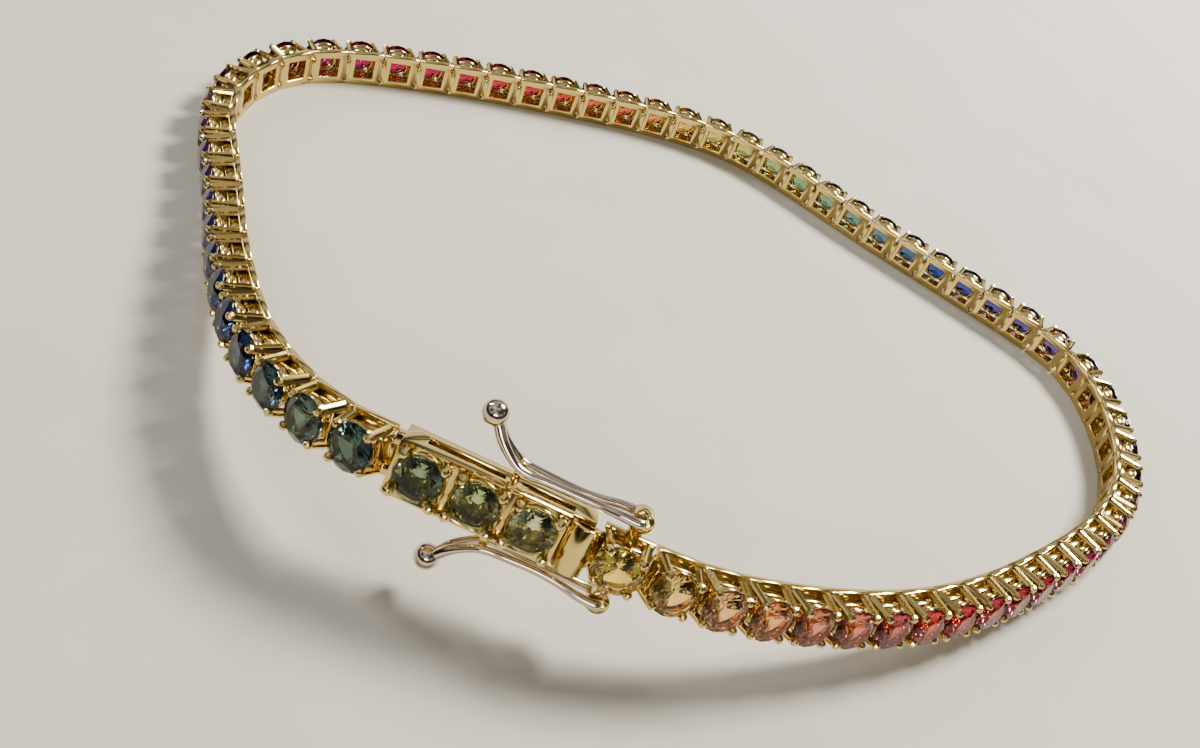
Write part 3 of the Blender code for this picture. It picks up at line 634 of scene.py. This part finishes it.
# %% [markdown]
# ## The setting round one stone
# Four prongs lean in from the corners of the seat. A round gallery wire runs inside them under
# the stone's edge, and a sloping band below it is the seat's cone. The corners are the
# points of a two by two grid, and each prong is turned along the line from its foot to a point
# a little nearer the middle.

# %% Setting tree
SEAT_SLOPE = math.radians(32)
RING_SIDES = 24


def swept_ring(tree, radius, profile, height):
    """A ring round the stone's axis with the given profile, at a height over the plate."""
    circle = add(tree, "GeometryNodeCurvePrimitiveCircle", {"Resolution": RING_SIDES, "Radius": radius})
    swept = add(tree, "GeometryNodeCurveToMesh", {"Curve": circle, "Profile Curve": profile})
    return moved(tree, swept, at(tree, Y=height), Z_TO_OUTWARD)


setting, given, result = new_tree(
    "four_prong_setting", "GeometryNodeTree",
    {"Prong": (SHAPE, None), "Corner X": (LENGTH, 1.03 * MM), "Corner Z": (LENGTH, 1.03 * MM),
     "Foot height": (LENGTH, 0.15 * MM), "Prong height": (LENGTH, 1.55 * MM),
     "Lean": (LENGTH, 0.16 * MM), "Gallery radius": (LENGTH, 1.00 * MM),
     "Gallery height": (LENGTH, 1.26 * MM), "Gallery wire": (LENGTH, 0.13 * MM),
     "Seat radius": (LENGTH, 0.84 * MM), "Seat height": (LENGTH, 0.86 * MM),
     "Seat depth": (LENGTH, 0.62 * MM), "Seat wall": (LENGTH, 0.11 * MM),
     "Finish": (FINISH, yellow_gold)},
    {"Setting": GEOMETRY})
grid = add(setting, "GeometryNodeMeshGrid",
           {"Size X": calc(setting, "MULTIPLY", given["Corner X"], 2.0),
            "Size Y": calc(setting, "MULTIPLY", given["Corner Z"], 2.0),
            "Vertices X": 2, "Vertices Y": 2})
feet = moved(setting, grid, at(setting, Y=given["Foot height"]), (math.pi / 2, 0.0, 0.0))
foot = add(setting, "ShaderNodeSeparateXYZ", {0: add(setting, "GeometryNodeInputPosition")})
lean = [calc(setting, "MULTIPLY", calc(setting, "SIGN", foot.outputs[axis]), given["Lean"])
        for axis in "XZ"]
towards = at(setting, X=calc(setting, "MULTIPLY", lean[0], -1.0), Y=given["Prong height"],
             Z=calc(setting, "MULTIPLY", lean[1], -1.0))
aim = add(setting, "FunctionNodeAlignRotationToVector", {"Vector": towards}, axis="Z")
prongs = copies_on(setting, feet, given["Prong"], aim)
wire = add(setting, "GeometryNodeCurvePrimitiveCircle",
           {"Resolution": 8, "Radius": given["Gallery wire"]})
gallery = swept_ring(setting, given["Gallery radius"], wire, given["Gallery height"])
band = add(setting, "GeometryNodeCurvePrimitiveQuadrilateral",
           {"Width": given["Seat wall"], "Height": given["Seat depth"]})
leaning = moved(setting, band, turn=(0.0, 0.0, SEAT_SLOPE))
cup = swept_ring(setting, given["Seat radius"], leaning, given["Seat height"])
whole = add(setting, "GeometryNodeJoinGeometry", {0: [prongs, gallery, cup]})
end_tree(setting, whole, given["Finish"], result["Setting"])


# %% [markdown]
# ## Plates and blocks
# The plain parts of a link are sawn from sheet: a back plate with a square window, and a low wall
# at each end with a hollowed top. They start as boxes, are cut with Booleans, and get their
# rounded edges from a Bevel modifier, since no real edge is as sharp as a Boolean's.

# %% Block helpers
BEVEL_ANGLE = math.radians(35)
SHARP_ANGLE = math.radians(40)


def span(width, middle=0.0):
    """The (low, high) range of a width about its middle."""
    return (middle - width / 2, middle + width / 2)


def block(name, along, out, across):
    """A box from three (low, high) ranges."""
    low = Vector((along[0], out[0], across[0]))
    high = Vector((along[1], out[1], across[1]))
    bm = bmesh.new()
    bmesh.ops.create_cube(bm, matrix=Matrix.Translation((low + high) / 2)
                          @ Matrix.Diagonal((*(high - low), 1.0)))
    return from_bmesh(name, bm)


def bar(name, radius, start, end, sides=24, end_radius=None):
    """A round bar or cone between two points."""
    start, end = Vector(start), Vector(end)
    turn = (end - start).to_track_quat("Z", "Y").to_matrix().to_4x4()
    bm = bmesh.new()
    bmesh.ops.create_cone(bm, cap_ends=True, segments=sides, radius1=radius,
                          radius2=radius if end_radius is None else end_radius,
                          depth=(end - start).length,
                          matrix=Matrix.Translation((start + end) / 2) @ turn)
    return from_bmesh(name, bm)


def bead(name, radius, middle, sides=20):
    bm = bmesh.new()
    bmesh.ops.create_uvsphere(bm, u_segments=sides, v_segments=sides * 2 // 3, radius=radius,
                              matrix=Matrix.Translation(middle))
    return from_bmesh(name, bm)


def from_bmesh(name, bm):
    bmesh.ops.recalc_face_normals(bm, faces=bm.faces)
    mesh = bpy.data.meshes.new(name)
    bm.to_mesh(mesh)
    bm.free()
    return new_object(name, mesh)


def combine(body, tools, operation="DIFFERENCE"):
    """Cut or join with exact Booleans, and remove the tools."""
    for tool in tools:
        step = body.modifiers.new("combine", "BOOLEAN")
        step.operation = operation
        step.solver = "EXACT"
        step.object = tool
    keep_shape(body)
    discard(*tools)
    return body


def ease_edges(body, width, segments=2):
    """Rounded edges, with smooth shading that keeps the flat sides flat."""
    step = body.modifiers.new("ease", "BEVEL")
    step.width = width
    step.segments = segments
    step.limit_method = "ANGLE"
    step.angle_limit = BEVEL_ANGLE
    step.use_clamp_overlap = True
    step.harden_normals = True
    keep_shape(body)
    body.data.shade_smooth()
    body.data.set_sharp_from_angle(angle=SHARP_ANGLE)
    return body


def join(name, shapes, place=None):
    """One mesh from several shapes, moved to its place, with its own name."""
    bm = bmesh.new()
    for shape in shapes:
        part = bmesh.new()
        part.from_mesh(shape.data)
        bmesh.ops.recalc_face_normals(part, faces=part.faces)
        mesh = bpy.data.meshes.new("part")
        part.to_mesh(mesh)
        part.free()
        mesh.transform(shape.matrix_world)
        bm.from_mesh(mesh)
        bpy.data.meshes.remove(mesh)
    mesh = bpy.data.meshes.new(name)
    bm.to_mesh(mesh)
    bm.free()
    mesh.transform(place or Matrix.Identity(4))
    discard(*shapes)
    return new_object(name, mesh)


# %% One link
WINDOW_LENGTH = 1.40 * MM
WINDOW_WIDTH = 1.50 * MM
EDGE = 0.05 * MM
WALL_TOP = 0.95 * MM
WALL_WIDTH = 1.70 * MM
WALL_MIDDLE = 1.06 * MM
WALL_THICKNESS = 0.20 * MM
HOLLOW_RADIUS = 1.10 * MM
HOLLOW_HEIGHT = 2.00 * MM
COLLAR_WALL = 0.13 * MM
COLLAR_TOP = 0.66 * MM
NOTCH_RADIUS = 0.18 * MM
NOTCH_PLACE = 0.82 * MM

link_half = (LINK_PITCH - LINK_GAP / 3) / 2
plate_half = PLATE_THICKNESS / 2
SIDES = (-1, 1)


def window_cutter():
    return block("window", span(WINDOW_LENGTH), (-MM, MM), span(WINDOW_WIDTH))


def link_plate(name):
    plate = block(name, span(2 * link_half), span(PLATE_THICKNESS), span(LINK_WIDTH))
    notches = [bar("notch", NOTCH_RADIUS, (end * link_half, -MM, side * NOTCH_PLACE),
                   (end * link_half, MM, side * NOTCH_PLACE), 12)
               for end in SIDES for side in SIDES]
    return ease_edges(combine(plate, [window_cutter(), *notches]), EDGE)


def window_collar(name):
    """A raised frame round the window, which carries the seat's cone."""
    collar = block(name, span(WINDOW_LENGTH + 2 * COLLAR_WALL), (plate_half - EDGE, COLLAR_TOP),
                   span(WINDOW_WIDTH + 2 * COLLAR_WALL))
    return ease_edges(combine(collar, [window_cutter()]), EDGE / 2)


def end_wall(side):
    middle = side * WALL_MIDDLE
    wall = block("end_wall", span(WALL_THICKNESS, middle), (0.0, WALL_TOP), span(WALL_WIDTH))
    hollow = bar("hollow", HOLLOW_RADIUS, (middle - MM, HOLLOW_HEIGHT, 0),
                 (middle + MM, HOLLOW_HEIGHT, 0), 32)
    return ease_edges(combine(wall, [hollow]), EDGE)


link_prong = grow("link_prong_shape", prong, {})
link_setting = grow("link_setting_shape", setting, {"Prong": link_prong})
link_shape = join("link_shape", [link_plate("plate"), window_collar("collar"), end_wall(-1),
                                 end_wall(1), link_setting])
print("one link has", len(link_shape.data.polygons), "faces")

# %% [markdown]
# ## Growing the row
# One tree repeats any shape along the row. It reads each place's turn from an attribute on the
# points, puts the shape there, and makes the copies real. A second input chooses the finish.
# The stones use the same tree with one step more: a ramp of colours along the row.

# %% Row trees
TURN = "turn"


def row_tree(name, colours=None):
    tree, given, result = new_tree(
        name, "GeometryNodeTree",
        {"Places": (GEOMETRY, None), "Shape": (SHAPE, None), "Finish": (FINISH, None),
         "First": (COUNT, 0), "Whole row": (COUNT, LINK_COUNT)},
        {"Row": GEOMETRY})
    places = given["Places"]
    if colours:
        index = calc(tree, "ADD", add(tree, "GeometryNodeInputIndex"), given["First"])
        along = calc(tree, "DIVIDE", index, given["Whole row"])
        ramp = add(tree, "ShaderNodeValToRGB", {"Fac": along})
        fill_ramp(ramp, [(link / LINK_COUNT, colour) for link, colour in colours])
        places = add(tree, "GeometryNodeStoreNamedAttribute",
                     {"Geometry": places, "Name": COLOUR, "Value": ramp},
                     data_type="FLOAT_COLOR", domain="POINT")
    turn = add(tree, "GeometryNodeInputNamedAttribute", {"Name": TURN}, data_type="QUATERNION")
    copies = copies_on(tree, places, given["Shape"], turn)
    end_tree(tree, copies, given["Finish"], result["Row"])
    return tree


def points_at(name, frames):
    """A mesh of loose points, each with the turn of its frame."""
    mesh = bpy.data.meshes.new(name)
    mesh.from_pydata([place.translation for place in frames], [], [])
    turns = mesh.attributes.new(TURN, "QUATERNION", "POINT")
    turns.data.foreach_set("value", [part for place in frames for part in place.to_quaternion()])
    return mesh


# %% [markdown]
# The colours run through the rainbow twice on the way round. The stops below name a link and its
# colour, and the ramp fills in between. They are the colours of light seen through the stone.

# %% Colours of the row
RAINBOW = [
    (0, (0.060, 0.105, 0.080)),
    (1, (0.095, 0.145, 0.120)),
    (2, (0.030, 0.060, 0.080)),
    (3, (0.010, 0.022, 0.105)),
    (6, (0.018, 0.028, 0.210)),
    (9, (0.090, 0.030, 0.260)),
    (12, (0.180, 0.020, 0.170)),
    (16, (0.340, 0.015, 0.130)),
    (20, (0.480, 0.022, 0.075)),
    (23, (0.560, 0.055, 0.045)),
    (25, (0.640, 0.150, 0.060)),
    (27, (0.740, 0.420, 0.090)),
    (28, (0.560, 0.520, 0.130)),
    (31, (0.200, 0.350, 0.180)),
    (34, (0.100, 0.180, 0.230)),
    (36, (0.035, 0.060, 0.300)),
    (39, (0.095, 0.075, 0.260)),
    (43, (0.210, 0.065, 0.250)),
    (47, (0.240, 0.018, 0.110)),
    (51, (0.360, 0.020, 0.055)),
    (54, (0.520, 0.040, 0.055)),
    (55, (0.560, 0.055, 0.055)),
    (56, (0.480, 0.085, 0.095)),
    (57, (0.600, 0.170, 0.130)),
    (58, (0.680, 0.230, 0.140)),
    (59, (0.860, 0.340, 0.140)),
    (60, (0.930, 0.500, 0.210)),
    (61, (0.960, 0.640, 0.180)),
]

plain_row = row_tree("row_of_shapes")
coloured_row = row_tree("row_of_stones", RAINBOW)
half = LINK_COUNT // 2
for shape in (link_shape, chain_stone):
    point_outwards(shape.data)
chain_pieces = {}
for name, first, last in (("left", 0, half), ("right", half, LINK_COUNT)):
    frames = link_frames[first:last]
    links = grow(f"links_{name}", plain_row, {"Shape": link_shape, "Finish": yellow_gold},
                 points_at(f"links_{name}", frames))
    finish_with(links, yellow_gold)
    stones = grow(f"stones_{name}", coloured_row,
                  {"Shape": chain_stone, "Finish": sapphire, "First": first},
                  points_at(f"stones_{name}", frames))
    finish_with(stones, sapphire)
    chain_pieces[name] = (links, stones)

# %% [markdown]
# ## Hinges between the links
# A small barrel lies across each joint, between the two plates. The same row tree places them,
# this time on the joints.

# %% Hinge barrels
BARREL_RADIUS = 0.19 * MM
BARREL_HALF = 0.56 * MM
BARREL_EDGE = 0.03 * MM
barrel_shape = ease_edges(bar("barrel_shape", BARREL_RADIUS, (0, 0, -BARREL_HALF),
                              (0, 0, BARREL_HALF), 14), BARREL_EDGE)


def joint_turn(index):
    """The frame at a joint, halfway between its two neighbours."""
    before = link_frames[max(index - 1, 0)]
    after = link_frames[min(index, LINK_COUNT - 1)]
    turned = before.to_quaternion().slerp(after.to_quaternion(), 0.5).to_matrix().to_4x4()
    return Matrix.Translation(joints[index]) @ turned


for name, first, last in (("left", 0, half), ("right", half, LINK_COUNT + 1)):
    frames = [joint_turn(i) for i in range(first, last)]
    barrels = grow(f"hinges_{name}", plain_row, {"Shape": barrel_shape, "Finish": yellow_gold},
                   points_at(f"hinges_{name}", frames))
    finish_with(barrels, yellow_gold)
    chain_pieces[name] += (barrels,)

# %% [markdown]
# ## The clasp's box
# The box is folded and soldered sheet: a back plate, two side walls with a long and a short slot,
# an end wall, and a deck that carries three stones. It is cut from one block here, in the same
# order as a jeweller would pierce it: the inside, the mouth, the slots, then the seats.

# %% Box body
BOX_WALL = 0.28 * MM
BOX_FLOOR = 0.25 * MM
BOX_CAVITY_HEIGHT = 0.80 * MM
BOX_DECK = 1.42 * MM
BOX_LIP_HEIGHT = 1.05 * MM
SLOT_HEIGHT = 0.60 * MM
LONG_SLOT = 3.90 * MM
SHORT_SLOT = 2.75 * MM
SLOT_BRIDGE = 0.80 * MM
SLOT_INSET = 0.90 * MM
BOX_PAVILION = 0.80 * MM
SEAT_PLAY = 0.05 * MM
SEAT_TIP = 0.02 * MM
BOX_LEDGE = 0.20 * MM
BOX_BACK = 0.30 * MM
VALLEY_WIDTH = 0.34 * MM
VALLEY_FLOOR = 0.95 * MM
VALLEY_REACH = 1.28 * MM

cavity_floor = BOX_FLOOR - plate_half
cavity_top = cavity_floor + BOX_CAVITY_HEIGHT
slot_middle = (cavity_floor + cavity_top) / 2
box_half = BOX_WIDTH / 2
inner_half = box_half - BOX_WALL
deck_start = box_near + BOX_MOUTH
lip = BOX_LIP_HEIGHT - plate_half
slots_start = box_far - SLOT_INSET
bridge_start = slots_start - LONG_SLOT
bridge_end = bridge_start - SLOT_BRIDGE

box = block("clasp_case", (box_near, box_far + BOX_LEDGE), (-plate_half - BOX_BACK, BOX_DECK),
            (-box_half, box_half))
beyond = LINK_PITCH
slot_out = span(SLOT_HEIGHT, slot_middle)
cutters = [
    block("cavity", (box_near - beyond, box_far - BOX_WALL), (cavity_floor, cavity_top),
          (-inner_half, inner_half)),
    block("mouth", (box_near - beyond, deck_start), (lip, beyond), (-beyond, beyond)),
    block("tab_space", (box_near - beyond, deck_start), (cavity_floor, beyond),
          (-inner_half, inner_half)),
    block("long_slot", (bridge_start, slots_start), slot_out, (-beyond, beyond)),
    block("short_slot", (bridge_end - SHORT_SLOT, bridge_end), slot_out, (-beyond, beyond)),
]
seat_radius = BOX_STONE_DIAMETER / 2 + SEAT_PLAY
seat_bottom = GIRDLE_HEIGHT - BOX_PAVILION - 2 * SEAT_PLAY
for along in box_stone_places:
    cutters.append(bar("seat", SEAT_TIP, (along, seat_bottom, 0), (along, GIRDLE_HEIGHT, 0), 32,
                       seat_radius))
for first, second in zip(box_stone_places, box_stone_places[1:]):
    cutters.append(block("valley", span(VALLEY_WIDTH, (first + second) / 2),
                         (VALLEY_FLOOR, beyond), (-VALLEY_REACH, VALLEY_REACH)))
box = ease_edges(combine(box, cutters), EDGE)

# %% [markdown]
# Each seat has the same kind of setting as a link, a little larger and lower. The nubs that the
# latches snap over stand on both side walls, on the bridge between the two slots.

# %% Settings, nubs and the hinge at the box's end
NUB_RISE = 0.85 * MM
NUB_BALL_RADIUS = 0.25 * MM
NUB_NECK_RADIUS = 0.14 * MM
NUB_FOOT_RADIUS = 1.5 * NUB_NECK_RADIUS
LATCH_HEIGHT = 0.45 * MM
BOX_CORNER = 1.07 * MM
BOX_PRONG_HEIGHT = 0.68 * MM
BOX_PRONG_FOOT = 1.10 * MM
LUG_OUT = (-0.16 * MM, 0.42 * MM)
LUG_PLACE = 0.84 * MM
LUG_WIDTH = 0.64 * MM
LUG_REACH = 0.15 * MM
OVERLAP = 0.10 * MM

box_prong = grow("box_prong_shape", prong, {"Height": BOX_PRONG_HEIGHT, "Foot": 0.27 * MM,
                                            "Bead": 0.30 * MM})
box_parts = [box]
for along in box_stone_places:
    setting_shape = grow("box_setting", setting,
                         {"Prong": box_prong, "Corner X": BOX_CORNER, "Corner Z": BOX_CORNER,
                          "Foot height": BOX_PRONG_FOOT, "Prong height": BOX_PRONG_HEIGHT,
                          "Lean": 0.05 * MM, "Gallery radius": 1.14 * MM,
                          "Gallery height": 1.42 * MM, "Gallery wire": 0.14 * MM,
                          "Seat radius": 1.02 * MM, "Seat height": 1.10 * MM})
    setting_shape.matrix_world = Matrix.Translation((along, 0, 0))
    box_parts.append(setting_shape)
bridge_middle = (bridge_start + bridge_end) / 2

for side in SIDES:
    foot = (bridge_middle, LATCH_HEIGHT, side * (box_half - OVERLAP))
    top_place = (bridge_middle, LATCH_HEIGHT, side * (box_half + NUB_RISE))
    nub_parts = [bar("nub_neck", NUB_FOOT_RADIUS, foot, top_place, 16, NUB_NECK_RADIUS),
                 bead("nub_ball", NUB_BALL_RADIUS, top_place)]
    for part in nub_parts:
        part.data.shade_smooth()
    lug = block("lug", (box_far - OVERLAP, clasp_length + LUG_REACH), LUG_OUT,
                span(LUG_WIDTH, side * LUG_PLACE))
    box_parts += [*nub_parts, ease_edges(lug, EDGE)]
bpy.context.view_layer.update()
clasp_case = join("clasp_case_and_settings", box_parts, clasp)

# %% [markdown]
# ## The end link, the tongue and the thumb tab
# The tongue is a strip of springy gold folded back on itself. Its free end rises to a thumb tab,
# a strip bent across the clasp: pressing it lets the tongue slide out. The tab is an arc of
# points, drawn out to the clasp's width and thickened with Solidify.

# %% Tongue
LEAF_THICKNESS = 0.18 * MM
TONGUE_WIDTH = 1.70 * MM
TONGUE_CLEARANCE = 0.08 * MM
LEAF_OPENING = 0.24 * MM
LEAF_EDGE = 0.04 * MM
TONGUE_END_GAP = 0.50 * MM
TAB_RADIUS = 0.78 * MM
TAB_WALL = 0.25 * MM
TAB_WIDTH = 2.60 * MM
TAB_CLEARANCE = 0.14 * MM

leaf_low = cavity_floor + TONGUE_CLEARANCE
leaf_top = leaf_low + LEAF_THICKNESS
upper_low = leaf_top + LEAF_OPENING
upper_top = upper_low + LEAF_THICKNESS
tongue_tip = box_far - BOX_WALL - TONGUE_END_GAP
riser_end = deck_start - TONGUE_CLEARANCE
tab_middle = riser_end - TAB_RADIUS
tab_foot = lip + TAB_CLEARANCE
plate_end = LINK_PITCH - LINK_GAP / 2
across = span(TONGUE_WIDTH)

tongue = block("tongue", (plate_end - 2 * OVERLAP, tongue_tip), (leaf_low, leaf_top), across)
combine(tongue, [
    block("upper_leaf", (riser_end - TAB_WALL, tongue_tip), (upper_low, upper_top), across),
    block("fold", (tongue_tip - LEAF_THICKNESS, tongue_tip), (leaf_low, upper_top), across),
    block("riser", (riser_end - TAB_WALL, riser_end), (upper_low, tab_foot + TAB_WALL), across),
], "UNION")
ease_edges(tongue, LEAF_EDGE)

# %% Thumb tab
TAB_EDGE = 0.07 * MM
ARC_STEPS = 20


def bent_strip(name, middle, foot, radius, wall, width):
    """Half a round of strip, open towards the wrist, with rounded edges."""
    arc = [math.pi * i / ARC_STEPS for i in range(ARC_STEPS + 1)]
    outer = radius - wall / 2
    rows = [(middle - outer * math.cos(a), foot + outer * math.sin(a)) for a in arc]
    bm = bmesh.new()
    near = [bm.verts.new((x, y, -width / 2)) for x, y in rows]
    far = [bm.verts.new((x, y, width / 2)) for x, y in rows]
    for i in range(ARC_STEPS):
        bm.faces.new((near[i], near[i + 1], far[i + 1], far[i]))
    made = from_bmesh(name, bm)
    thick = made.modifiers.new("thick", "SOLIDIFY")
    thick.thickness = wall
    thick.offset = 0.0
    keep_shape(made)
    return ease_edges(made, TAB_EDGE, 3)


tab = bent_strip("thumb_tab", tab_middle, tab_foot, TAB_RADIUS, TAB_WALL, TAB_WIDTH)

# %% [markdown]
# The safety latches turn in two small ears beside the end link. An ear is a short tube with a
# flared mouth, on a foot that rises from the plate's edge.

# %% Ears
EAR_RADIUS = 0.60 * MM
EAR_BORE = 0.28 * MM
EAR_WIDTH = 0.78 * MM
EAR_FOOT = 0.60 * MM
EAR_FOOT_ROOT = 0.24 * MM
EAR_FOOT_BASE = -0.16 * MM
EAR_FOOT_STEP = 0.06 * MM
LATCH_HINGE_RISE = 0.95 * MM
ear_rise = box_half + LATCH_HINGE_RISE
end_link_middle = LINK_PITCH / 2


def latch_ear(side):
    low, high = span(EAR_WIDTH, LATCH_HEIGHT)
    rise = side * ear_rise
    ear = bar("ear", EAR_RADIUS, (end_link_middle, low, rise), (end_link_middle, high, rise), 28)
    reach = (LINK_WIDTH / 2 - EAR_FOOT_ROOT, ear_rise - (EAR_BORE + EAR_RADIUS) / 2)
    foot = block("ear_foot", span(EAR_FOOT, end_link_middle), (EAR_FOOT_BASE, high - EAR_FOOT_STEP),
                 sorted(side * across for across in reach))
    combine(ear, [foot], "UNION")
    bore = bar("bore", EAR_BORE, (end_link_middle, low - MM, rise), (end_link_middle, high + MM, rise))
    return ease_edges(combine(ear, [bore]), EDGE)


end_plate = link_plate("end_plate")
end_walls = [end_wall(-1), end_wall(1), window_collar("end_collar")]
end_setting = grow("end_setting", setting, {"Prong": link_prong})
for part in (end_plate, *end_walls, end_setting):
    part.matrix_world = Matrix.Translation((end_link_middle, 0, 0))
bpy.context.view_layer.update()
end_link = join("end_link_tongue_and_ears",
                [end_plate, *end_walls, end_setting, tongue, tab, latch_ear(-1), latch_ear(1)],
                clasp)


# %% [markdown]
# ## The clasp's four stones
# They are cut by the same tree. Each gets its colour as an attribute, as the row's stones do, so
# that one material serves them all.

# %% Clasp stones
def clasp_stone(name, along, colour, sizes):
    made = grow(name, cut, {"Lift": GIRDLE_HEIGHT, **sizes})
    point_outwards(made.data)
    made.data.transform(clasp @ Matrix.Translation((along, 0, 0)))
    paint = made.data.attributes.new(COLOUR, "FLOAT_COLOR", "POINT")
    for corner in paint.data:
        corner.color = (*colour, 1.0)
    finish_with(made, sapphire)
    return made


GREENS = [(0.250, 0.320, 0.170), (0.430, 0.490, 0.220), (0.640, 0.690, 0.370)]
GOLDEN = (0.96, 0.72, 0.12)
box_cut = {"Diameter": BOX_STONE_DIAMETER, "Pavilion": BOX_PAVILION}
clasp_stones = {}
for number, (along, colour) in enumerate(zip(box_stone_places, GREENS), 1):
    clasp_stones[f"box_stone_{number}"] = clasp_stone(f"green_stone_{number}", along, colour, box_cut)
clasp_stones["end_stone"] = clasp_stone("yellow_end_stone", end_link_middle, GOLDEN, {})

# %% [markdown]
# ## Safety latches
# A latch is one length of white gold wire bent like a hairpin, with a bead melted at its closed
# end. It is a curve here, smooth through a few given stations. Each station
# is a share of the latch's length, a sideways place and a height. The wire is thinnest where it
# snaps over the nub.

# %% Latch shape
LATCH_WIRE_RADIUS = 0.17 * MM
LATCH_BALL_RADIUS = 0.66 * MM
LATCH_BALL_SET_BACK = 0.09 * MM
LATCH_LENGTH = 8.30 * MM
LATCH_BALL_RISE = 2.75 * MM
LATCH_REST_RISE = 0.78 * MM
LATCH_SPREAD = 0.62 * MM
LATCH_PINCH = 0.30 * MM
NUB_CLEARANCE = 0.06 * MM
WIRE_FULLNESS = 1.28
HINGE_FULLNESS = 0.25
HINGE_REACH = 0.2
NECK_FULLNESS = 0.28
NECK_START = 0.80
NECK_RATE = 2.0
WIRE_STEPS = 8

drop = LATCH_REST_RISE - LATCH_HINGE_RISE
passing = NUB_BALL_RADIUS + NUB_CLEARANCE + LATCH_WIRE_RADIUS
tip_rise = LATCH_BALL_RISE - LATCH_HINGE_RISE
nub = (bridge_middle - end_link_middle) / LATCH_LENGTH
LATCH_STATIONS = [
    (0.00, 0.80 * LATCH_SPREAD, 0.0),
    (0.015, LATCH_SPREAD, 0.0),
    (0.12, 0.95 * LATCH_SPREAD, 0.10 * drop),
    (0.26, LATCH_PINCH + 0.3 * (LATCH_SPREAD - LATCH_PINCH), 0.70 * drop),
    (0.40, LATCH_PINCH, drop),
    (0.58, LATCH_PINCH + 0.4 * (passing - LATCH_PINCH), drop),
    (nub - 0.04, passing, drop),
    (nub + 0.04, 0.95 * passing, drop + 0.10 * (tip_rise - drop)),
    (0.88, 0.6 * passing, drop + 0.42 * (tip_rise - drop)),
    (0.95, 0.3 * passing, drop + 0.78 * (tip_rise - drop)),
    (1.00, 0.0, tip_rise),
]


def latch(name, place):
    knots = np.array([(share * LATCH_LENGTH, side, rise) for share, side, rise in LATCH_STATIONS])
    line = smooth_line([knots[0], *knots, knots[-1]], WIRE_STEPS)
    one_side = np.vstack([line, knots[-1]])
    points = np.vstack([one_side[::-1], one_side * (1, -1, 1)])
    curve = bpy.data.curves.new(name, "CURVE")
    curve.dimensions = "3D"
    curve.bevel_depth = LATCH_WIRE_RADIUS * WIRE_FULLNESS
    curve.bevel_resolution = 3
    curve.use_fill_caps = True
    spline = curve.splines.new("POLY")
    spline.points.add(len(points) - 1)
    for point, here in zip(spline.points, points):
        point.co = (*here, 1.0)
        towards_ball = (here[0] / LATCH_LENGTH - NECK_START) / (1.0 - NECK_START)
        point.radius = (1.0 + HINGE_FULLNESS * fade(here[0], HINGE_REACH * LATCH_LENGTH, 1.0)
                        + NECK_FULLNESS * min(1.0, NECK_RATE * max(0.0, towards_ball)))
    wire = new_object(name + "_curve", curve)
    hairpin = new_object(name + "_hairpin", finished_mesh(wire))
    discard(wire)
    ball = bead(name + "_ball", LATCH_BALL_RADIUS, (LATCH_LENGTH - LATCH_BALL_SET_BACK, 0.0,
                                                     tip_rise - LATCH_BALL_SET_BACK), 32)
    made = join(name, [hairpin, ball], place)
    made.data.shade_smooth()
    finish_with(made, white_gold)
    return made


latches = {}
for node, side in (("latch_upper", 1), ("latch_lower", -1)):
    flip = Matrix.Rotation(0.0 if side > 0 else math.pi, 4, "X")
    hinge = Matrix.Translation((end_link_middle, LATCH_HEIGHT, side * ear_rise))
    latches[node] = latch(node + "_wire", clasp @ hinge @ flip)

# %% [markdown]
# ## Floor
# A plain pale surface, only faintly mottled, so that nothing competes with the stones.

# %% Floor
FLOOR_HALF = 0.5

floor_material, tree, shader = principled("pale_floor")
mottle = add(tree, "ShaderNodeTexNoise",
             {"Vector": add(tree, "ShaderNodeTexCoord").outputs["Object"], "Scale": 120.0})
tint = add(tree, "ShaderNodeValToRGB", {"Fac": mottle})
fill_ramp(tint, [(0.0, (0.435, 0.405, 0.335)), (1.0, (0.505, 0.472, 0.395))])
tree.links.new(tint.outputs["Color"], shader.inputs["Base Color"])
shader.inputs["Roughness"].default_value = 0.8
bm = bmesh.new()
bmesh.ops.create_grid(bm, x_segments=1, y_segments=1, size=FLOOR_HALF)
floor = from_bmesh("floor", bm)
floor.data.materials.append(floor_material)

# %% [markdown]
# ## Handing the pieces over
# The shapes that were only patterns are removed. Each piece then rides on the body that it
# belongs to, and the imported solid that it stands for is hidden.

# %% Bodies, finishes and replaced solids
discard(link_shape, chain_stone, link_prong, box_prong, barrel_shape)
for made, nodes, slot in (
        (clasp_case, ["clasp_box"], "yellow_gold"),
        (end_link, ["end_link_and_tongue"], "yellow_gold")):
    finish_with(made, yellow_gold)
    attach(made, "bracelet")
    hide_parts(*nodes)
for name, (links, stones, barrels) in chain_pieces.items():
    for made, slot in ((links, "yellow_gold"), (stones, "chain_stones"), (barrels, "yellow_gold")):
        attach(made, "bracelet")
        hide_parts(f"chain_{name}")
for node, made in clasp_stones.items():
    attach(made, "bracelet")
    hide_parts(node)
for node, body in (("latch_upper", "upper_latch"), ("latch_lower", "lower_latch")):
    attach(latches[node], body)
    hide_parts(node)
